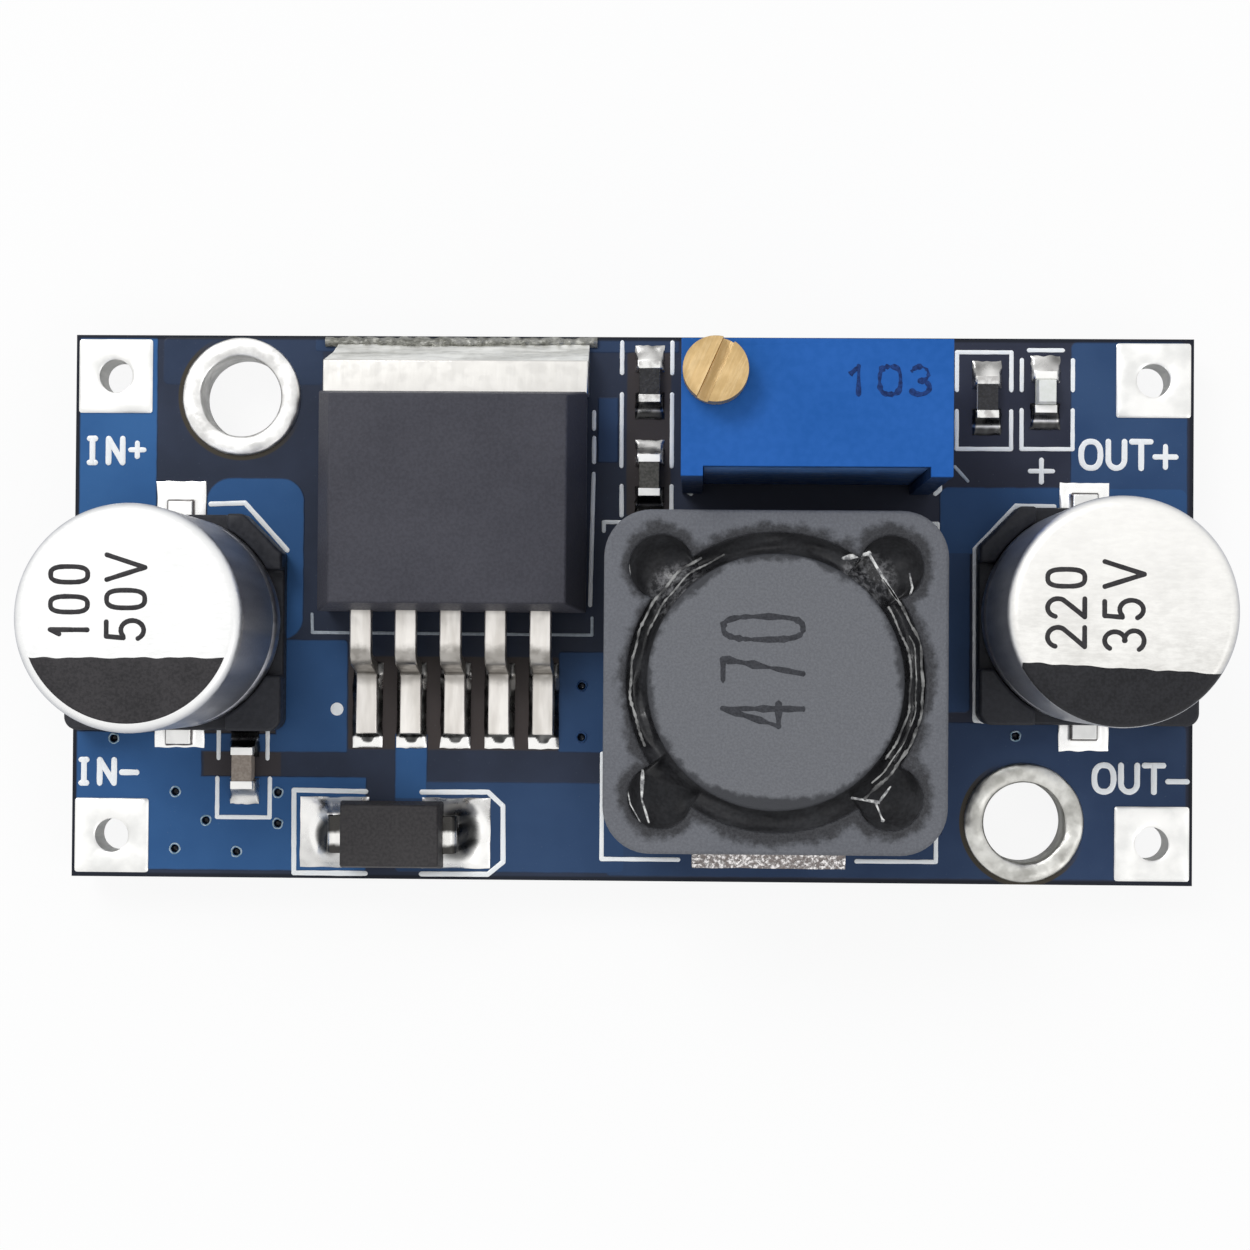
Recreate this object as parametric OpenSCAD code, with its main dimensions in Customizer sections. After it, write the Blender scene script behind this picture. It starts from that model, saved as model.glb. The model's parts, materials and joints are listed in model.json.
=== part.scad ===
// Step-down converter module: a small circuit board that carries a surface-mounted
// regulator, a rectifier diode, a shielded inductor, two can capacitors, an upright
// multi-turn trimmer, five chip parts and a row of plated holes.
// Millimetres. The origin is at the board's centre, on the surface that the trimmer's
// clipped pins stand on. X runs along the board, Z points up.

/* [Board] */
// Length of the circuit board
board_l = 43.2; // [42.8:0.1:46]
// Width of the circuit board
board_w = 21; // [20.8:0.1:24]
// Thickness of the laminate
board_t = 1.6; // [1:0.1:2.4]
// How far the trimmer's clipped pins reach below the board
pin_drop = 1; // [0.7:0.1:1.6]
// Thickness of the tinned copper lands
land_t = 0.05; // [0.03:0.01:0.1]

/* [Wire holes] */
// Diameter of the four plated wire holes
wire_hole_d = 1.3; // [0.9:0.1:1.5]
// Side of the square land round a wire hole
wire_land = 2.86; // [2.4:0.02:3]
// From the board's short edge to a wire hole's centre
wire_inset_x = 1.55; // [1.5:0.05:2]
// From the board's long edge to a wire hole's centre
wire_inset_y = 1.6; // [1.5:0.05:2]

/* [Mounting holes] */
// Diameter of the two plated mounting holes
mount_hole_d = 3.1; // [2.4:0.1:3.3]
// Diameter of the tinned ring round a mounting hole
mount_ring_d = 4.6; // [4:0.1:4.7]
// From the board's short edge to a mounting hole's centre
mount_inset_x = 6.45; // [6.2:0.05:6.8]
// From the board's long edge to a mounting hole's centre
mount_inset_y = 2.38; // [2.38:0.01:2.8]

/* [Vias] */
// Diameter of a via's hole
via_hole_d = 0.3; // [0.2:0.05:0.4]
// Diameter of the ring round a via
via_ring_d = 0.6; // [0.5:0.05:0.8]
// Step of the grid that the vias at the corner lie on
via_step = 1.1; // [1:0.02:1.14]
// From the output mounting hole's centre back to the via behind it
via_behind = 3.32; // [2.8:0.02:3.6]
// From the output mounting hole's centre left to the via behind it
via_beside = 0.32; // [0:0.02:0.5]

/* [Can capacitors] */
// Distance of the input capacitor from the board's left edge
input_inset = 4.15; // [4.15:0.05:4.6]
// Place of the input capacitor across the board
input_y = -0.65; // [-0.7:0.05:0.1]
// Distance of the output capacitor from the board's right edge
output_inset = 4.18; // [4.18:0.02:4.6]
// Place of the output capacitor across the board
output_y = -0.2; // [-0.7:0.05:0.3]
// Diameter of an aluminium can
can_d = 8.12; // [7.4:0.02:8.16]
// Height of a can alone, above its base
can_h = 9.5; // [7:0.1:12]
// Radius of the can's drawn top edge
can_edge_r = 0.42; // [0.2:0.02:0.8]
// Radius of the can's curled bottom edge
can_curl_r = 0.5; // [0.3:0.05:0.7]
// Height of the crimp groove above the can's bottom
groove_z = 1.75; // [1.5:0.05:2.4]
// Radius of the crimp groove's round section
groove_r = 0.55; // [0.4:0.05:0.8]
// Depth of the crimp groove
groove_depth = 0.42; // [0.2:0.02:0.6]
// Side of the moulded base
cap_base = 8.3; // [8.2:0.02:8.34]
// Thickness of the moulded base under the can
cap_base_t = 0.7; // [0.6:0.05:1.2]
// Height of the base's corner posts above the can's bottom
cap_post_h = 0.9; // [0.5:0.05:1.4]
// Corner cut on the positive side of the base
cap_chamfer = 1.5; // [0.8:0.1:2]
// Radius of the two round corners of the base
cap_corner_r = 0.5; // [0.2:0.05:0.8]
// Gap between the can and the corner posts
can_gap = 0.05; // [0.02:0.01:0.1]
// Width of a capacitor's flat lead
cap_lead_w = 0.95; // [0.6:0.05:1.2]
// Thickness of a capacitor's flat lead
cap_lead_t = 0.3; // [0.2:0.02:0.4]
// Distance between the two leads where they leave the can
cap_lead_pitch = 3.1; // [2.6:0.1:3.6]
// Length from lead tip to lead tip
cap_lead_span = 9.4; // [8.6:0.1:9.6]
// Width of a capacitor's land
cap_land_w = 1.9; // [1.4:0.1:2.2]
// How far a capacitor's land runs past the lead's tip
cap_land_over = 0.45; // [0.3:0.05:0.8]
// How far back the input capacitor's lands lie from its centre
input_land_shift = 0.32; // [0:0.02:0.36]

/* [Regulator] */
// Place of the regulator's centre lead along the board
reg_x = -6.74; // [-6.9:0.02:-6.6]
// From the board's back edge to the end of the metal tab
reg_tab_inset = 1.06; // [0.9:0.02:1.2]
// Width of the tab and of the moulded body
reg_w = 10.16; // [9.8:0.02:10.3]
// Thickness of the metal tab
reg_tab_t = 1.3; // [1.1:0.05:1.5]
// Length of the tab that stands out of the body
reg_tab_show = 1.3; // [1:0.05:1.5]
// Length of the moulded body
reg_body_l = 8.35; // [8.2:0.05:8.8]
// Height of the moulded body
reg_h = 4.45; // [4.2:0.05:4.8]
// Width that the body loses on each side towards its top
reg_draft_x = 0.65; // [0.2:0.05:0.7]
// Length that the body loses at each end towards its top
reg_draft_y = 0.28; // [0.1:0.02:0.5]
// Height of the middle of the leads where they leave the body
reg_lead_z = 2.35; // [2.1:0.05:2.6]
// Distance from lead to lead
reg_pitch = 1.7; // [1.6:0.02:1.8]
// Width of a lead
reg_lead_w = 0.82; // [0.6:0.02:1]
// Thickness of a lead
reg_lead_t = 0.46; // [0.36:0.02:0.5]
// Level length of a lead outside the body
reg_lead_out = 1.4; // [1:0.05:1.5]
// Steepness of a lead's downward run, in degrees
reg_lead_slope = 80; // [70:1:85]
// Length of a lead's foot
reg_foot = 2.15; // [1.6:0.05:2.2]
// Inner radius of a lead's bends
reg_bend_r = 0.22; // [0.1:0.02:0.3]
// Width of a lead's land
reg_land_w = 1.16; // [1:0.02:1.2]
// How far a land runs past the tip of its foot
reg_land_over = 0.55; // [0.2:0.05:0.6]

/* [Diode] */
// Place of the diode along the board
diode_x = -9.04; // [-9.3:0.02:-8.8]
// From the board's front edge to the diode's centre
diode_inset = 1.79; // [1.6:0.01:2]
// Length of the diode's moulded body
diode_l = 3.96; // [3.6:0.02:4.3]
// Width of the diode's moulded body
diode_w = 2.56; // [2.3:0.02:2.8]
// Height of the diode's moulded body
diode_h = 2; // [1.7:0.05:2.4]
// What the diode's body loses on each side towards top and bottom
diode_draft = 0.12; // [0.05:0.01:0.2]
// Width of the diode's terminals
diode_term_w = 1.45; // [1.2:0.05:1.6]
// Thickness of the diode's terminals
diode_term_t = 0.2; // [0.15:0.01:0.25]
// How far a terminal stands out of the body
diode_term_out = 0.5; // [0.45:0.01:0.6]
// Length of a diode's land
diode_land_l = 2.65; // [1.8:0.05:2.7]
// Width of a diode's land
diode_land_w = 2.72; // [2.2:0.02:2.8]
// Distance between the outer ends of the diode's lands
diode_land_span = 7.36; // [7:0.02:7.6]

/* [Inductor] */
// Place of the inductor along the board
ind_x = 5.38; // [5.2:0.02:5.6]
// Place of the inductor across the board
ind_y = -2.76; // [-3.2:0.02:-2.7]
// Side of the square ferrite shield
ind_side = 12.3; // [11.8:0.05:12.5]
// Height of the whole inductor
ind_h = 8.05; // [7:0.05:9]
// Radius of the shield's upright corners
ind_corner_r = 1.7; // [1:0.05:2]
// Diameter of the shield's bore
ind_bore_d = 10.7; // [10.2:0.05:10.8]
// Radius of the four glue pockets at the bore's corners
ind_pocket_r = 1.15; // [0.9:0.05:1.25]
// Distance of a pocket's centre from each centre line
ind_pocket_at = 4.1; // [3.9:0.02:4.15]
// Diameter of the drum core's flanges
drum_d = 9.2; // [8.6:0.05:9.6]
// Diameter of the drum core's post
drum_post_d = 4.6; // [4:0.1:5.2]
// Thickness of the drum core's flanges
drum_flange_t = 1.3; // [1:0.05:1.5]
// Diameter of the enamelled wire
wire_d = 0.6; // [0.5:0.02:0.7]
// Layers of wire on the drum
wire_layers = 3; // [2:1:3]
// Thickness of the moulded base
ind_base_t = 0.9; // [0.7:0.05:1.2]
// Width of the inductor's terminal clips
ind_term_w = 5; // [4:0.1:5.6]
// Thickness of the terminal clips
ind_term_t = 0.2; // [0.15:0.01:0.25]
// Length of a clip under the base
ind_term_l = 2; // [1.6:0.1:2.4]
// Width of the inductor's lands
ind_land_w = 5.9; // [5.6:0.1:6.2]
// How far the front land runs out past the inductor
ind_land_over = 1.06; // [0.6:0.02:1.14]
// How far the back land runs out past the inductor
ind_land_back = 0.3; // [0.2:0.02:0.8]
// Depth of the glue's surface below the top of the shield
glue_sink = 0.55; // [0.2:0.05:1]
// Gap between glue and ferrite
glue_gap = 0.02; // [0.01:0.01:0.05]

/* [Trimmer] */
// Place of the trimmer along the board
trim_x = 6.72; // [6.7:0.02:7]
// From the board's back edge to the trimmer's centre
trim_inset = 3.62; // [3.45:0.01:3.7]
// Length of the trimmer's housing
trim_l = 9.53; // [9.2:0.01:9.7]
// Width of the trimmer's housing
trim_w = 4.83; // [4.7:0.01:4.9]
// Height of the trimmer's housing
trim_h = 10.03; // [9:0.01:11]
// Thickness of the housing's walls
trim_wall = 0.45; // [0.35:0.01:0.5]
// Width of the housing's posts beside the sealed face
trim_post_w = 0.78; // [0.6:0.02:1]
// Depth of the recess in front of the sealed face
trim_recess = 0.35; // [0.2:0.01:0.5]
// Height of the housing's feet
trim_foot_h = 0.35; // [0.2:0.05:0.5]
// Thickness of the sealant on the front
seal_t = 0.2; // [0.1:0.02:0.3]
// Thickness of the sealant under the mechanism
seal_floor = 0.9; // [0.7:0.05:1.2]
// Thickness of the ceramic plate
plate_t = 0.6; // [0.4:0.05:0.7]
// Gap between the ceramic plate and the housing
plate_gap = 0.04; // [0.02:0.01:0.1]
// Distance of the screw's axis from the housing's end and back
screw_inset = 1.2; // [1.16:0.01:1.3]
// Diameter of the screw's head
screw_head_d = 2.3; // [2:0.02:2.32]
// Height of the screw's head above the housing
screw_head_h = 1.2; // [0.9:0.05:1.5]
// Diameter of the screw's shank
shank_d = 1; // [0.8:0.02:1.04]
// Width of the screw's slot
slot_w = 0.42; // [0.3:0.02:0.6]
// Depth of the screw's slot
slot_depth = 0.6; // [0.3:0.05:0.8]
// Direction of the slot, from the X axis
slot_angle = 66; // [0:1:180]
// Gap round the shank where it turns
turn_gap = 0.04; // [0.02:0.01:0.06]
// Thickness of the sealing ring under the head
ring_t = 0.34; // [0.26:0.02:0.4]
// Gap between head and housing
head_gap = 0.06; // [0.04:0.01:0.1]
// Height of the carriage that rides on the screw
carriage_h = 1.7; // [1.2:0.1:2]
// Length of the carriage across the housing
carriage_l = 3.2; // [2.4:0.1:4]
// Gap between the carriage and the housing
carriage_gap = 0.07; // [0.05:0.01:0.1]
// How far the carriage travels each way from rest
carriage_travel = 3; // [1:0.1:3.1]
// Thickness of the wiper's spring strip
wiper_t = 0.12; // [0.08:0.01:0.16]
// Width of the wiper's strip
wiper_w = 1; // [0.6:0.1:1.1]
// Gap between the wiper's tip and the ceramic plate
wiper_gap = 0.04; // [0.02:0.01:0.06]
// Diameter of the trimmer's pins
trim_pin_d = 0.51; // [0.4:0.01:0.6]
// Distance from pin to pin
trim_pin_pitch = 2.54; // [2.4:0.01:2.7]
// Diameter of a pin's plated hole
trim_hole_d = 0.8; // [0.7:0.02:1]
// Diameter of the land round a pin
trim_land_d = 1.6; // [1.4:0.05:2]

/* [Chip parts] */
// Length of a chip part
chip_l = 1.6; // [1.4:0.02:1.7]
// Width of a chip part
chip_w = 0.84; // [0.7:0.02:0.95]
// From the trimmer's end to the divider resistor beside it
divider_gap = 1.28; // [1.2:0.02:1.6]
// From the board's back edge to the divider resistor's centre
divider_inset = 1.75; // [1.6:0.05:2]
// From the board's right edge to the lamp's resistor
ballast_inset_x = 7.94; // [7.7:0.02:8]
// From the board's back edge to the lamp's resistor
ballast_inset_y = 2.3; // [2:0.05:2.6]
// From the board's right edge to the lamp
lamp_inset_x = 5.7; // [5.6:0.02:5.9]
// From the board's back edge to the lamp
lamp_inset_y = 2.08; // [1.8:0.02:2.4]
// From the input capacitor's centre to the ceramic capacitor beside it
input_ceramic_x = 2.56; // [2.3:0.02:2.8]
// From the input capacitor's base to that ceramic capacitor's centre
input_ceramic_y = 1.44; // [1.42:0.02:1.8]
// From the inductor's left side to the ceramic capacitor behind it
feed_ceramic_x = 1.46; // [1.3:0.02:1.6]
// From the inductor's back to that ceramic capacitor's centre
feed_ceramic_y = 1.72; // [1.6:0.02:2]
// Height of a chip resistor
resistor_h = 0.45; // [0.35:0.01:0.6]
// Height of a chip capacitor
ceramic_h = 0.85; // [0.6:0.01:0.95]
// Length of a tinned chip end
chip_end = 0.3; // [0.2:0.02:0.4]
// Thickness of a tinned chip end
chip_tin = 0.03; // [0.02:0.005:0.05]
// Width of a chip part's lands
chip_land_w = 1.12; // [0.96:0.02:1.2]
// Distance between the outer ends of a chip part's lands
chip_land_span = 2.84; // [2.6:0.02:3]
// Distance between the inner ends of a chip part's lands
chip_land_gap = 0.8; // [0.6:0.02:1]
// Thickness of the lamp's carrier
led_base_t = 0.3; // [0.2:0.02:0.4]
// Height of the lamp's lens
led_lens_h = 0.5; // [0.3:0.02:0.7]

/* [Solder] */
// Length of the solder that climbs a thin lead's tip
toe_l = 0.34; // [0.2:0.02:0.38]
// Height of the solder on the diode's terminals
diode_toe_h = 0.95; // [0.6:0.05:1.1]
// Length of the solder on the diode's terminals
diode_toe_l = 1.1; // [0.8:0.05:1.15]
// Height of the solder cones on the trimmer's pins
cone_h = 0.7; // [0.4:0.05:0.8]

/* [Hidden] */
$fn = 48;
slack = 0.1;
board_top = pin_drop + board_t;
seat = board_top + land_t;

wire_x = board_l / 2 - wire_inset_x;
wire_y = board_w / 2 - wire_inset_y;
mount_x = board_l / 2 - mount_inset_x;
mount_y = board_w / 2 - mount_inset_y;

input_x = -(board_l / 2 - input_inset);
output_x = board_l / 2 - output_inset;

// Places of the vias: from the board's front left corner, and from the parts they serve
corner_vias = [for (v = [[1.45, 4.86], [3.64, 3], [3.64, 1], [4.73, 2], [7.27, 3],
                         [7.27, 1.91], [5.82, 0.91]])
                 v * via_step - [board_l, board_w] / 2];
inductor_vias = [for (v = [-0.22, -2.02]) [ind_x - ind_side / 2 - via_step, ind_y + v * via_step]];
via_places = concat(corner_vias, inductor_vias, [[mount_x - via_beside, via_behind - mount_y]]);

reg_tab_end = board_w / 2 - reg_tab_inset;
reg_back = reg_tab_end - reg_tab_show;
reg_front = reg_back - reg_body_l;
reg_bend_mid = reg_bend_r + reg_lead_t / 2;
reg_drop = reg_lead_z - reg_lead_t / 2 - 2 * reg_bend_mid * (1 - cos(reg_lead_slope));
reg_ramp = reg_drop / sin(reg_lead_slope);
reg_reach = reg_lead_out + 2 * reg_bend_mid * sin(reg_lead_slope)
          + reg_ramp * cos(reg_lead_slope) + reg_foot;
reg_toe_y = reg_front - reg_reach;
reg_anchor = 1.2;
reg_slug_margin = 0.8;
reg_slug_share = 0.72;
reg_slug_w = reg_w - 2 * reg_slug_margin;
reg_slug_l = reg_body_l * reg_slug_share;
reg_riser_y = reg_back - reg_slug_l;
reg_land_end = board_w / 2 - 0.25;
reg_land_margin = 0.15;
reg_land_heel = 0.6;

diode_y = -(board_w / 2 - diode_inset);
diode_lift = diode_term_t;
diode_mid = diode_lift + diode_h / 2;
diode_tip = diode_l / 2 + diode_term_out;
diode_anchor = 0.5;
diode_fold = 1.2;

shield_h = ind_h - ind_base_t;
drum_h = shield_h;
wire_room = drum_h - 2 * drum_flange_t - slack;
wire_rows = floor(wire_room / wire_d);
ind_land_in = 0.5;
clip_gap = 0.02;

trim_y = board_w / 2 - trim_inset;
trim_front = trim_y - trim_w / 2;
trim_back = trim_y + trim_w / 2;
trim_left = trim_x - trim_l / 2;
trim_right = trim_x + trim_l / 2;
trim_top = board_top + trim_h;
seal_front = trim_front + trim_recess;
plate_front = seal_front + seal_t;
plate_back = plate_front + plate_t;
room_floor = board_top + trim_foot_h + seal_floor;
trim_roof = 0.7;
room_top = trim_top - trim_roof;
screw_x = trim_left + screw_inset;
screw_y = trim_back - screw_inset;
shank_clear = 0.15;
shank_end = room_floor + shank_clear;
carriage_x0 = trim_left + trim_wall + carriage_gap;
carriage_z = (room_floor + room_top) / 2;
carriage_back = screw_y + shank_d / 4;
wiper_reach = 0.4;
carriage_front = plate_back + wiper_gap + wiper_reach;
wiper_from_end = 1.3;
ring_squeeze = 0.03;
pin_strip_w = 0.4;
pin_strip_t = 0.3;
pin_rise = 0.6;
pin_turn = 0.25;
pin_gap = 0.01;

// Places of the chip parts, from the edges and parts they stand beside
resistors = [[trim_left - divider_gap, board_w / 2 - divider_inset],
             [board_l / 2 - ballast_inset_x, board_w / 2 - ballast_inset_y]];
ceramics = [[input_x + input_ceramic_x, input_y - cap_base / 2 - input_ceramic_y],
            [ind_x - ind_side / 2 + feed_ceramic_x, ind_y + ind_side / 2 + feed_ceramic_y]];
lamp = [board_l / 2 - lamp_inset_x, board_w / 2 - lamp_inset_y];
chip_gap = 0.01;

solder_edge = 0.03;
tab_solder_l = reg_tab_inset - 0.28;
clip_toe_share = 0.7;
clip_toe_h = 0.5;

// ---- shapes that repeat ----

// A box centred in X and Y that stands on z
module slab(x, y, z, l, w, h) {
  translate([x - l / 2, y - w / 2, z]) cube([l, w, h]);
}

// A strip's straight run in its side view, with what follows at its end
module run(length, t) {
  translate([0, -t / 2]) square([length, t]);
  translate([length, 0]) children();
}

// A strip's bend in its side view: a positive angle turns it up, a negative one down
module bend(angle, r, t) {
  side = sign(angle);
  wide = 2 * (r + t);
  translate([0, side * r]) {
    intersection() {
      difference() {
        circle(r + t / 2);
        circle(r - t / 2);
      }
      polygon([[0, 0], [0, -side * wide], [wide * tan(abs(angle) / 2), -side * wide],
               [wide * sin(abs(angle)), -side * wide * cos(angle)]]);
    }
    rotate(angle) translate([0, -side * r]) children();
  }
}

// Extrudes a strip's side view, drawn in X and Z, to the strip's width along Y
module strip(width) {
  translate([0, width / 2, 0]) rotate([90, 0, 0]) linear_extrude(width) children();
}

// A moulded block that narrows above and below its parting line.
// The size is at the parting line, the drafts are what each side loses
module moulded(l, w, h, parting, dx, dy, low = 0.1) {
  intersection() {
    strip(w) polygon([[-l / 2 + low * dx, 0], [l / 2 - low * dx, 0], [l / 2, parting],
                      [l / 2 - dx, h], [dx - l / 2, h], [-l / 2, parting]]);
    rotate(90) strip(l) polygon([[-w / 2 + low * dy, 0], [w / 2 - low * dy, 0],
                                 [w / 2, parting], [w / 2 - dy, h], [dy - w / 2, h],
                                 [-w / 2, parting]]);
  }
}

// Hollow solder that climbs a terminal: it stands at the origin and runs out along X
module fillet(length, height, width) {
  chord = norm([length - solder_edge, height - solder_edge]);
  r = 1.1 * chord;
  out = sqrt(r * r - chord * chord / 4);
  strip(width) difference() {
    square([length, height]);
    translate([(length + solder_edge) / 2 + out * (height - solder_edge) / chord,
               (height + solder_edge) / 2 + out * (length - solder_edge) / chord]) circle(r);
  }
}

// A plated hole through the laminate
module plated_hole(x, y, hole_d)
  translate([x, y, pin_drop - slack]) cylinder(d = hole_d, h = board_t + 2 * slack);

// Lands of the children's outline round a plated hole, on both faces of the board
module hole_lands(x, y, hole_d)
  for (z = [pin_drop - land_t, board_top]) translate([x, y, z])
    linear_extrude(land_t) difference() {
      children();
      circle(d = hole_d);
    }

// ---- board ----

module circuit_board() color("navy") difference() {
  slab(0, 0, pin_drop, board_l, board_w, board_t);
  for (sx = [-1, 1], sy = [-1, 1]) plated_hole(sx * wire_x, sy * wire_y, wire_hole_d);
  for (s = [-1, 1]) plated_hole(s * mount_x, -s * mount_y, mount_hole_d);
  for (p = via_places) plated_hole(p.x, p.y, via_hole_d);
  for (i = [-1:1]) plated_hole(trim_x + i * trim_pin_pitch, trim_y, trim_hole_d);
}

module wire_pads() color("gainsboro")
  for (sx = [-1, 1], sy = [-1, 1])
    hole_lands(sx * wire_x, sy * wire_y, wire_hole_d) square(wire_land, center = true);

module mounting_rings() color("gainsboro")
  for (s = [-1, 1]) hole_lands(s * mount_x, -s * mount_y, mount_hole_d)
    circle(d = mount_ring_d);

module via_rings() color("lightsteelblue")
  for (p = via_places) hole_lands(p.x, p.y, via_hole_d) circle(d = via_ring_d);

// A pair of lands along Y, between an inner gap and an outer span
module land_pair(x, y, width, gap, span) {
  for (s = [-1, 1])
    slab(x, y + s * (gap + span) / 4, board_top, width, (span - gap) / 2, land_t);
}

module component_lands() color("silver") {
  for (c = [[input_x, input_y + input_land_shift], [output_x, output_y]])
    land_pair(c.x, c.y, cap_land_w, cap_lead_pitch, cap_lead_span + 2 * cap_land_over);
  for (c = concat(resistors, ceramics, [lamp]))
    land_pair(c.x, c.y, chip_land_w, chip_land_gap, chip_land_span);
  for (end = [[-1, ind_land_over], [1, ind_land_back]]) {
    length = ind_term_l + ind_land_in + end[1];
    slab(ind_x, ind_y + end[0] * (ind_side / 2 + end[1] - length / 2), board_top,
         ind_land_w, length, land_t);
  }
  for (s = [-1, 1])
    slab(diode_x + s * (diode_land_span - diode_land_l) / 2, diode_y, board_top,
         diode_land_l, diode_land_w, land_t);
  slab(reg_x, (reg_land_end + reg_riser_y) / 2, board_top, reg_w + 2 * reg_land_margin,
       reg_land_end - reg_riser_y, land_t);
  lead_land_l = reg_foot + reg_land_over + reg_land_heel;
  for (i = [-2:2])
    slab(reg_x + i * reg_pitch, reg_toe_y - reg_land_over + lead_land_l / 2, board_top,
         reg_land_w, lead_land_l, land_t);
}

// Solder on a chip part's two ends
module chip_solder(p, height) {
  for (s = [-1, 1]) translate([p.x, p.y + s * chip_l / 2, seat])
    rotate(s * 90) fillet(toe_l, height * 0.8, chip_w);
}

module solder_fillets() color("silver") {
  for (p = concat(resistors, [lamp])) chip_solder(p, resistor_h);
  for (p = ceramics) chip_solder(p, ceramic_h);
  for (c = [[input_x, input_y], [output_x, output_y]], s = [-1, 1])
    translate([c.x, c.y + s * cap_lead_span / 2, seat])
      rotate(s * 90) fillet(toe_l, cap_lead_t, cap_lead_w);
  for (s = [-1, 1]) translate([diode_x + s * diode_tip, diode_y, seat])
    rotate(90 - s * 90) fillet(diode_toe_l, diode_toe_h, diode_term_w);
  for (end = [[-1, ind_land_over], [1, ind_land_back]])
    translate([ind_x, ind_y + end[0] * ind_side / 2, seat])
      rotate(end[0] * 90) fillet(clip_toe_share * end[1], clip_toe_h, ind_term_w);
  translate([reg_x, reg_tab_end, seat]) rotate(90) strip(reg_w)
    polygon([[0, 0], [tab_solder_l, 0], [tab_solder_l, 2 * solder_edge],
             [0, reg_tab_t - 2 * solder_edge]]);
  for (i = [-2:2]) translate([reg_x + i * reg_pitch, reg_toe_y, seat])
    rotate(-90) fillet(toe_l, reg_lead_t * 0.9, reg_lead_w);
}

// ---- can capacitors ----

// Half section of a drawn can with a curled bottom and a crimp groove
module can_section() {
  r = can_d / 2;
  difference() {
    union() {
      square([r - can_curl_r, can_curl_r]);
      translate([r - can_curl_r, can_curl_r]) circle(can_curl_r);
      translate([0, can_curl_r]) square([r, can_h - can_curl_r - can_edge_r]);
      translate([r - can_edge_r, can_h - can_edge_r]) circle(can_edge_r);
      square([r - can_edge_r, can_h]);
    }
    translate([r - can_curl_r, -slack]) square([can_curl_r + slack, slack]);
    translate([r + groove_r - groove_depth, groove_z]) circle(groove_r);
  }
}

module capacitor_can(x, y) color("lightgray")
  translate([x, y, seat + cap_base_t]) rotate_extrude() can_section();

// The lead leaves the can downwards and runs outwards in a channel under the base
module capacitor_leads(x, y) color("silver")
  for (s = [-1, 1]) translate([x, y, seat]) rotate(s * 90) {
    reach = (cap_lead_span - cap_lead_pitch) / 2;
    translate([cap_lead_pitch / 2, -cap_lead_w / 2, 0]) {
      cube([reach, cap_lead_w, cap_lead_t]);
      cube([cap_lead_t, cap_lead_w, cap_base_t]);
    }
  }

// Outline of the moulded base: two corners are cut off, the other two are round
module base_outline() {
  half = cap_base / 2;
  straight = half - cap_corner_r;
  polygon([[-half, -straight], [half, -straight], [half, half - cap_chamfer],
           [half - cap_chamfer, half], [cap_chamfer - half, half],
           [-half, half - cap_chamfer]]);
  translate([-straight, -half]) square([2 * straight, cap_corner_r + slack]);
  for (s = [-1, 1]) translate([s * straight, -straight]) circle(cap_corner_r);
}

module capacitor_base(x, y) color("dimgray") translate([x, y, seat]) difference() {
  half = cap_base / 2;
  open = can_d / 4;
  linear_extrude(cap_base_t + cap_post_h) base_outline();
  translate([0, 0, cap_base_t]) cylinder(d = can_d + 2 * can_gap, h = cap_post_h + slack);
  for (turn = [0, 90]) rotate(turn)
    slab(0, 0, cap_base_t, cap_base + 2 * slack, 2 * open, cap_post_h + slack);
  for (s = [-1, 1]) rotate(s * 90)
    translate([cap_lead_pitch / 2, -cap_lead_w / 2, -slack]) {
      cube([half, cap_lead_w, cap_lead_t + slack]);
      cube([cap_lead_t, cap_lead_w, cap_base_t + 2 * slack]);
    }
}

module input_capacitor_can() capacitor_can(input_x, input_y);
module input_capacitor_base() capacitor_base(input_x, input_y);
module input_capacitor_leads() capacitor_leads(input_x, input_y);
module output_capacitor_can() capacitor_can(output_x, output_y);
module output_capacitor_base() capacitor_base(output_x, output_y);
module output_capacitor_leads() capacitor_leads(output_x, output_y);

// ---- regulator ----

// One gull-wing lead, with its anchor inside the body
module reg_lead(i) translate([reg_x + i * reg_pitch, reg_front, seat]) rotate(-90)
  strip(reg_lead_w) translate([-reg_anchor, reg_lead_z])
    run(reg_anchor + reg_lead_out, reg_lead_t)
      bend(-reg_lead_slope, reg_bend_mid, reg_lead_t)
        run(reg_ramp, reg_lead_t)
          bend(reg_lead_slope, reg_bend_mid, reg_lead_t)
            run(reg_foot, reg_lead_t);

// The tab, the heat slug under the body and the centre lead are one stamping
module reg_stamping() {
  slab(reg_x, reg_tab_end - reg_tab_show / 2, seat, reg_w, reg_tab_show, reg_tab_t);
  slab(reg_x, reg_back - reg_slug_l / 2, seat, reg_slug_w, reg_slug_l, reg_tab_t);
  translate([reg_x - reg_lead_w / 2, reg_riser_y, seat])
    cube([reg_lead_w, reg_lead_t, reg_lead_z + reg_lead_t / 2]);
  translate([reg_x - reg_lead_w / 2, reg_front + reg_anchor - slack,
             seat + reg_lead_z - reg_lead_t / 2])
    cube([reg_lead_w, reg_riser_y - reg_front - reg_anchor + 2 * slack, reg_lead_t]);
  reg_lead(0);
}

module reg_outer_leads() for (i = [-2, -1, 1, 2]) reg_lead(i);

module regulator_tab() color("silver") reg_stamping();
module regulator_leads() color("silver") reg_outer_leads();

module regulator_body() color("#333336") difference() {
  translate([reg_x, (reg_front + reg_back) / 2, seat])
    moulded(reg_w, reg_body_l, reg_h, reg_lead_z, reg_draft_x, reg_draft_y);
  reg_stamping();
  reg_outer_leads();
}

// ---- diode ----

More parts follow.
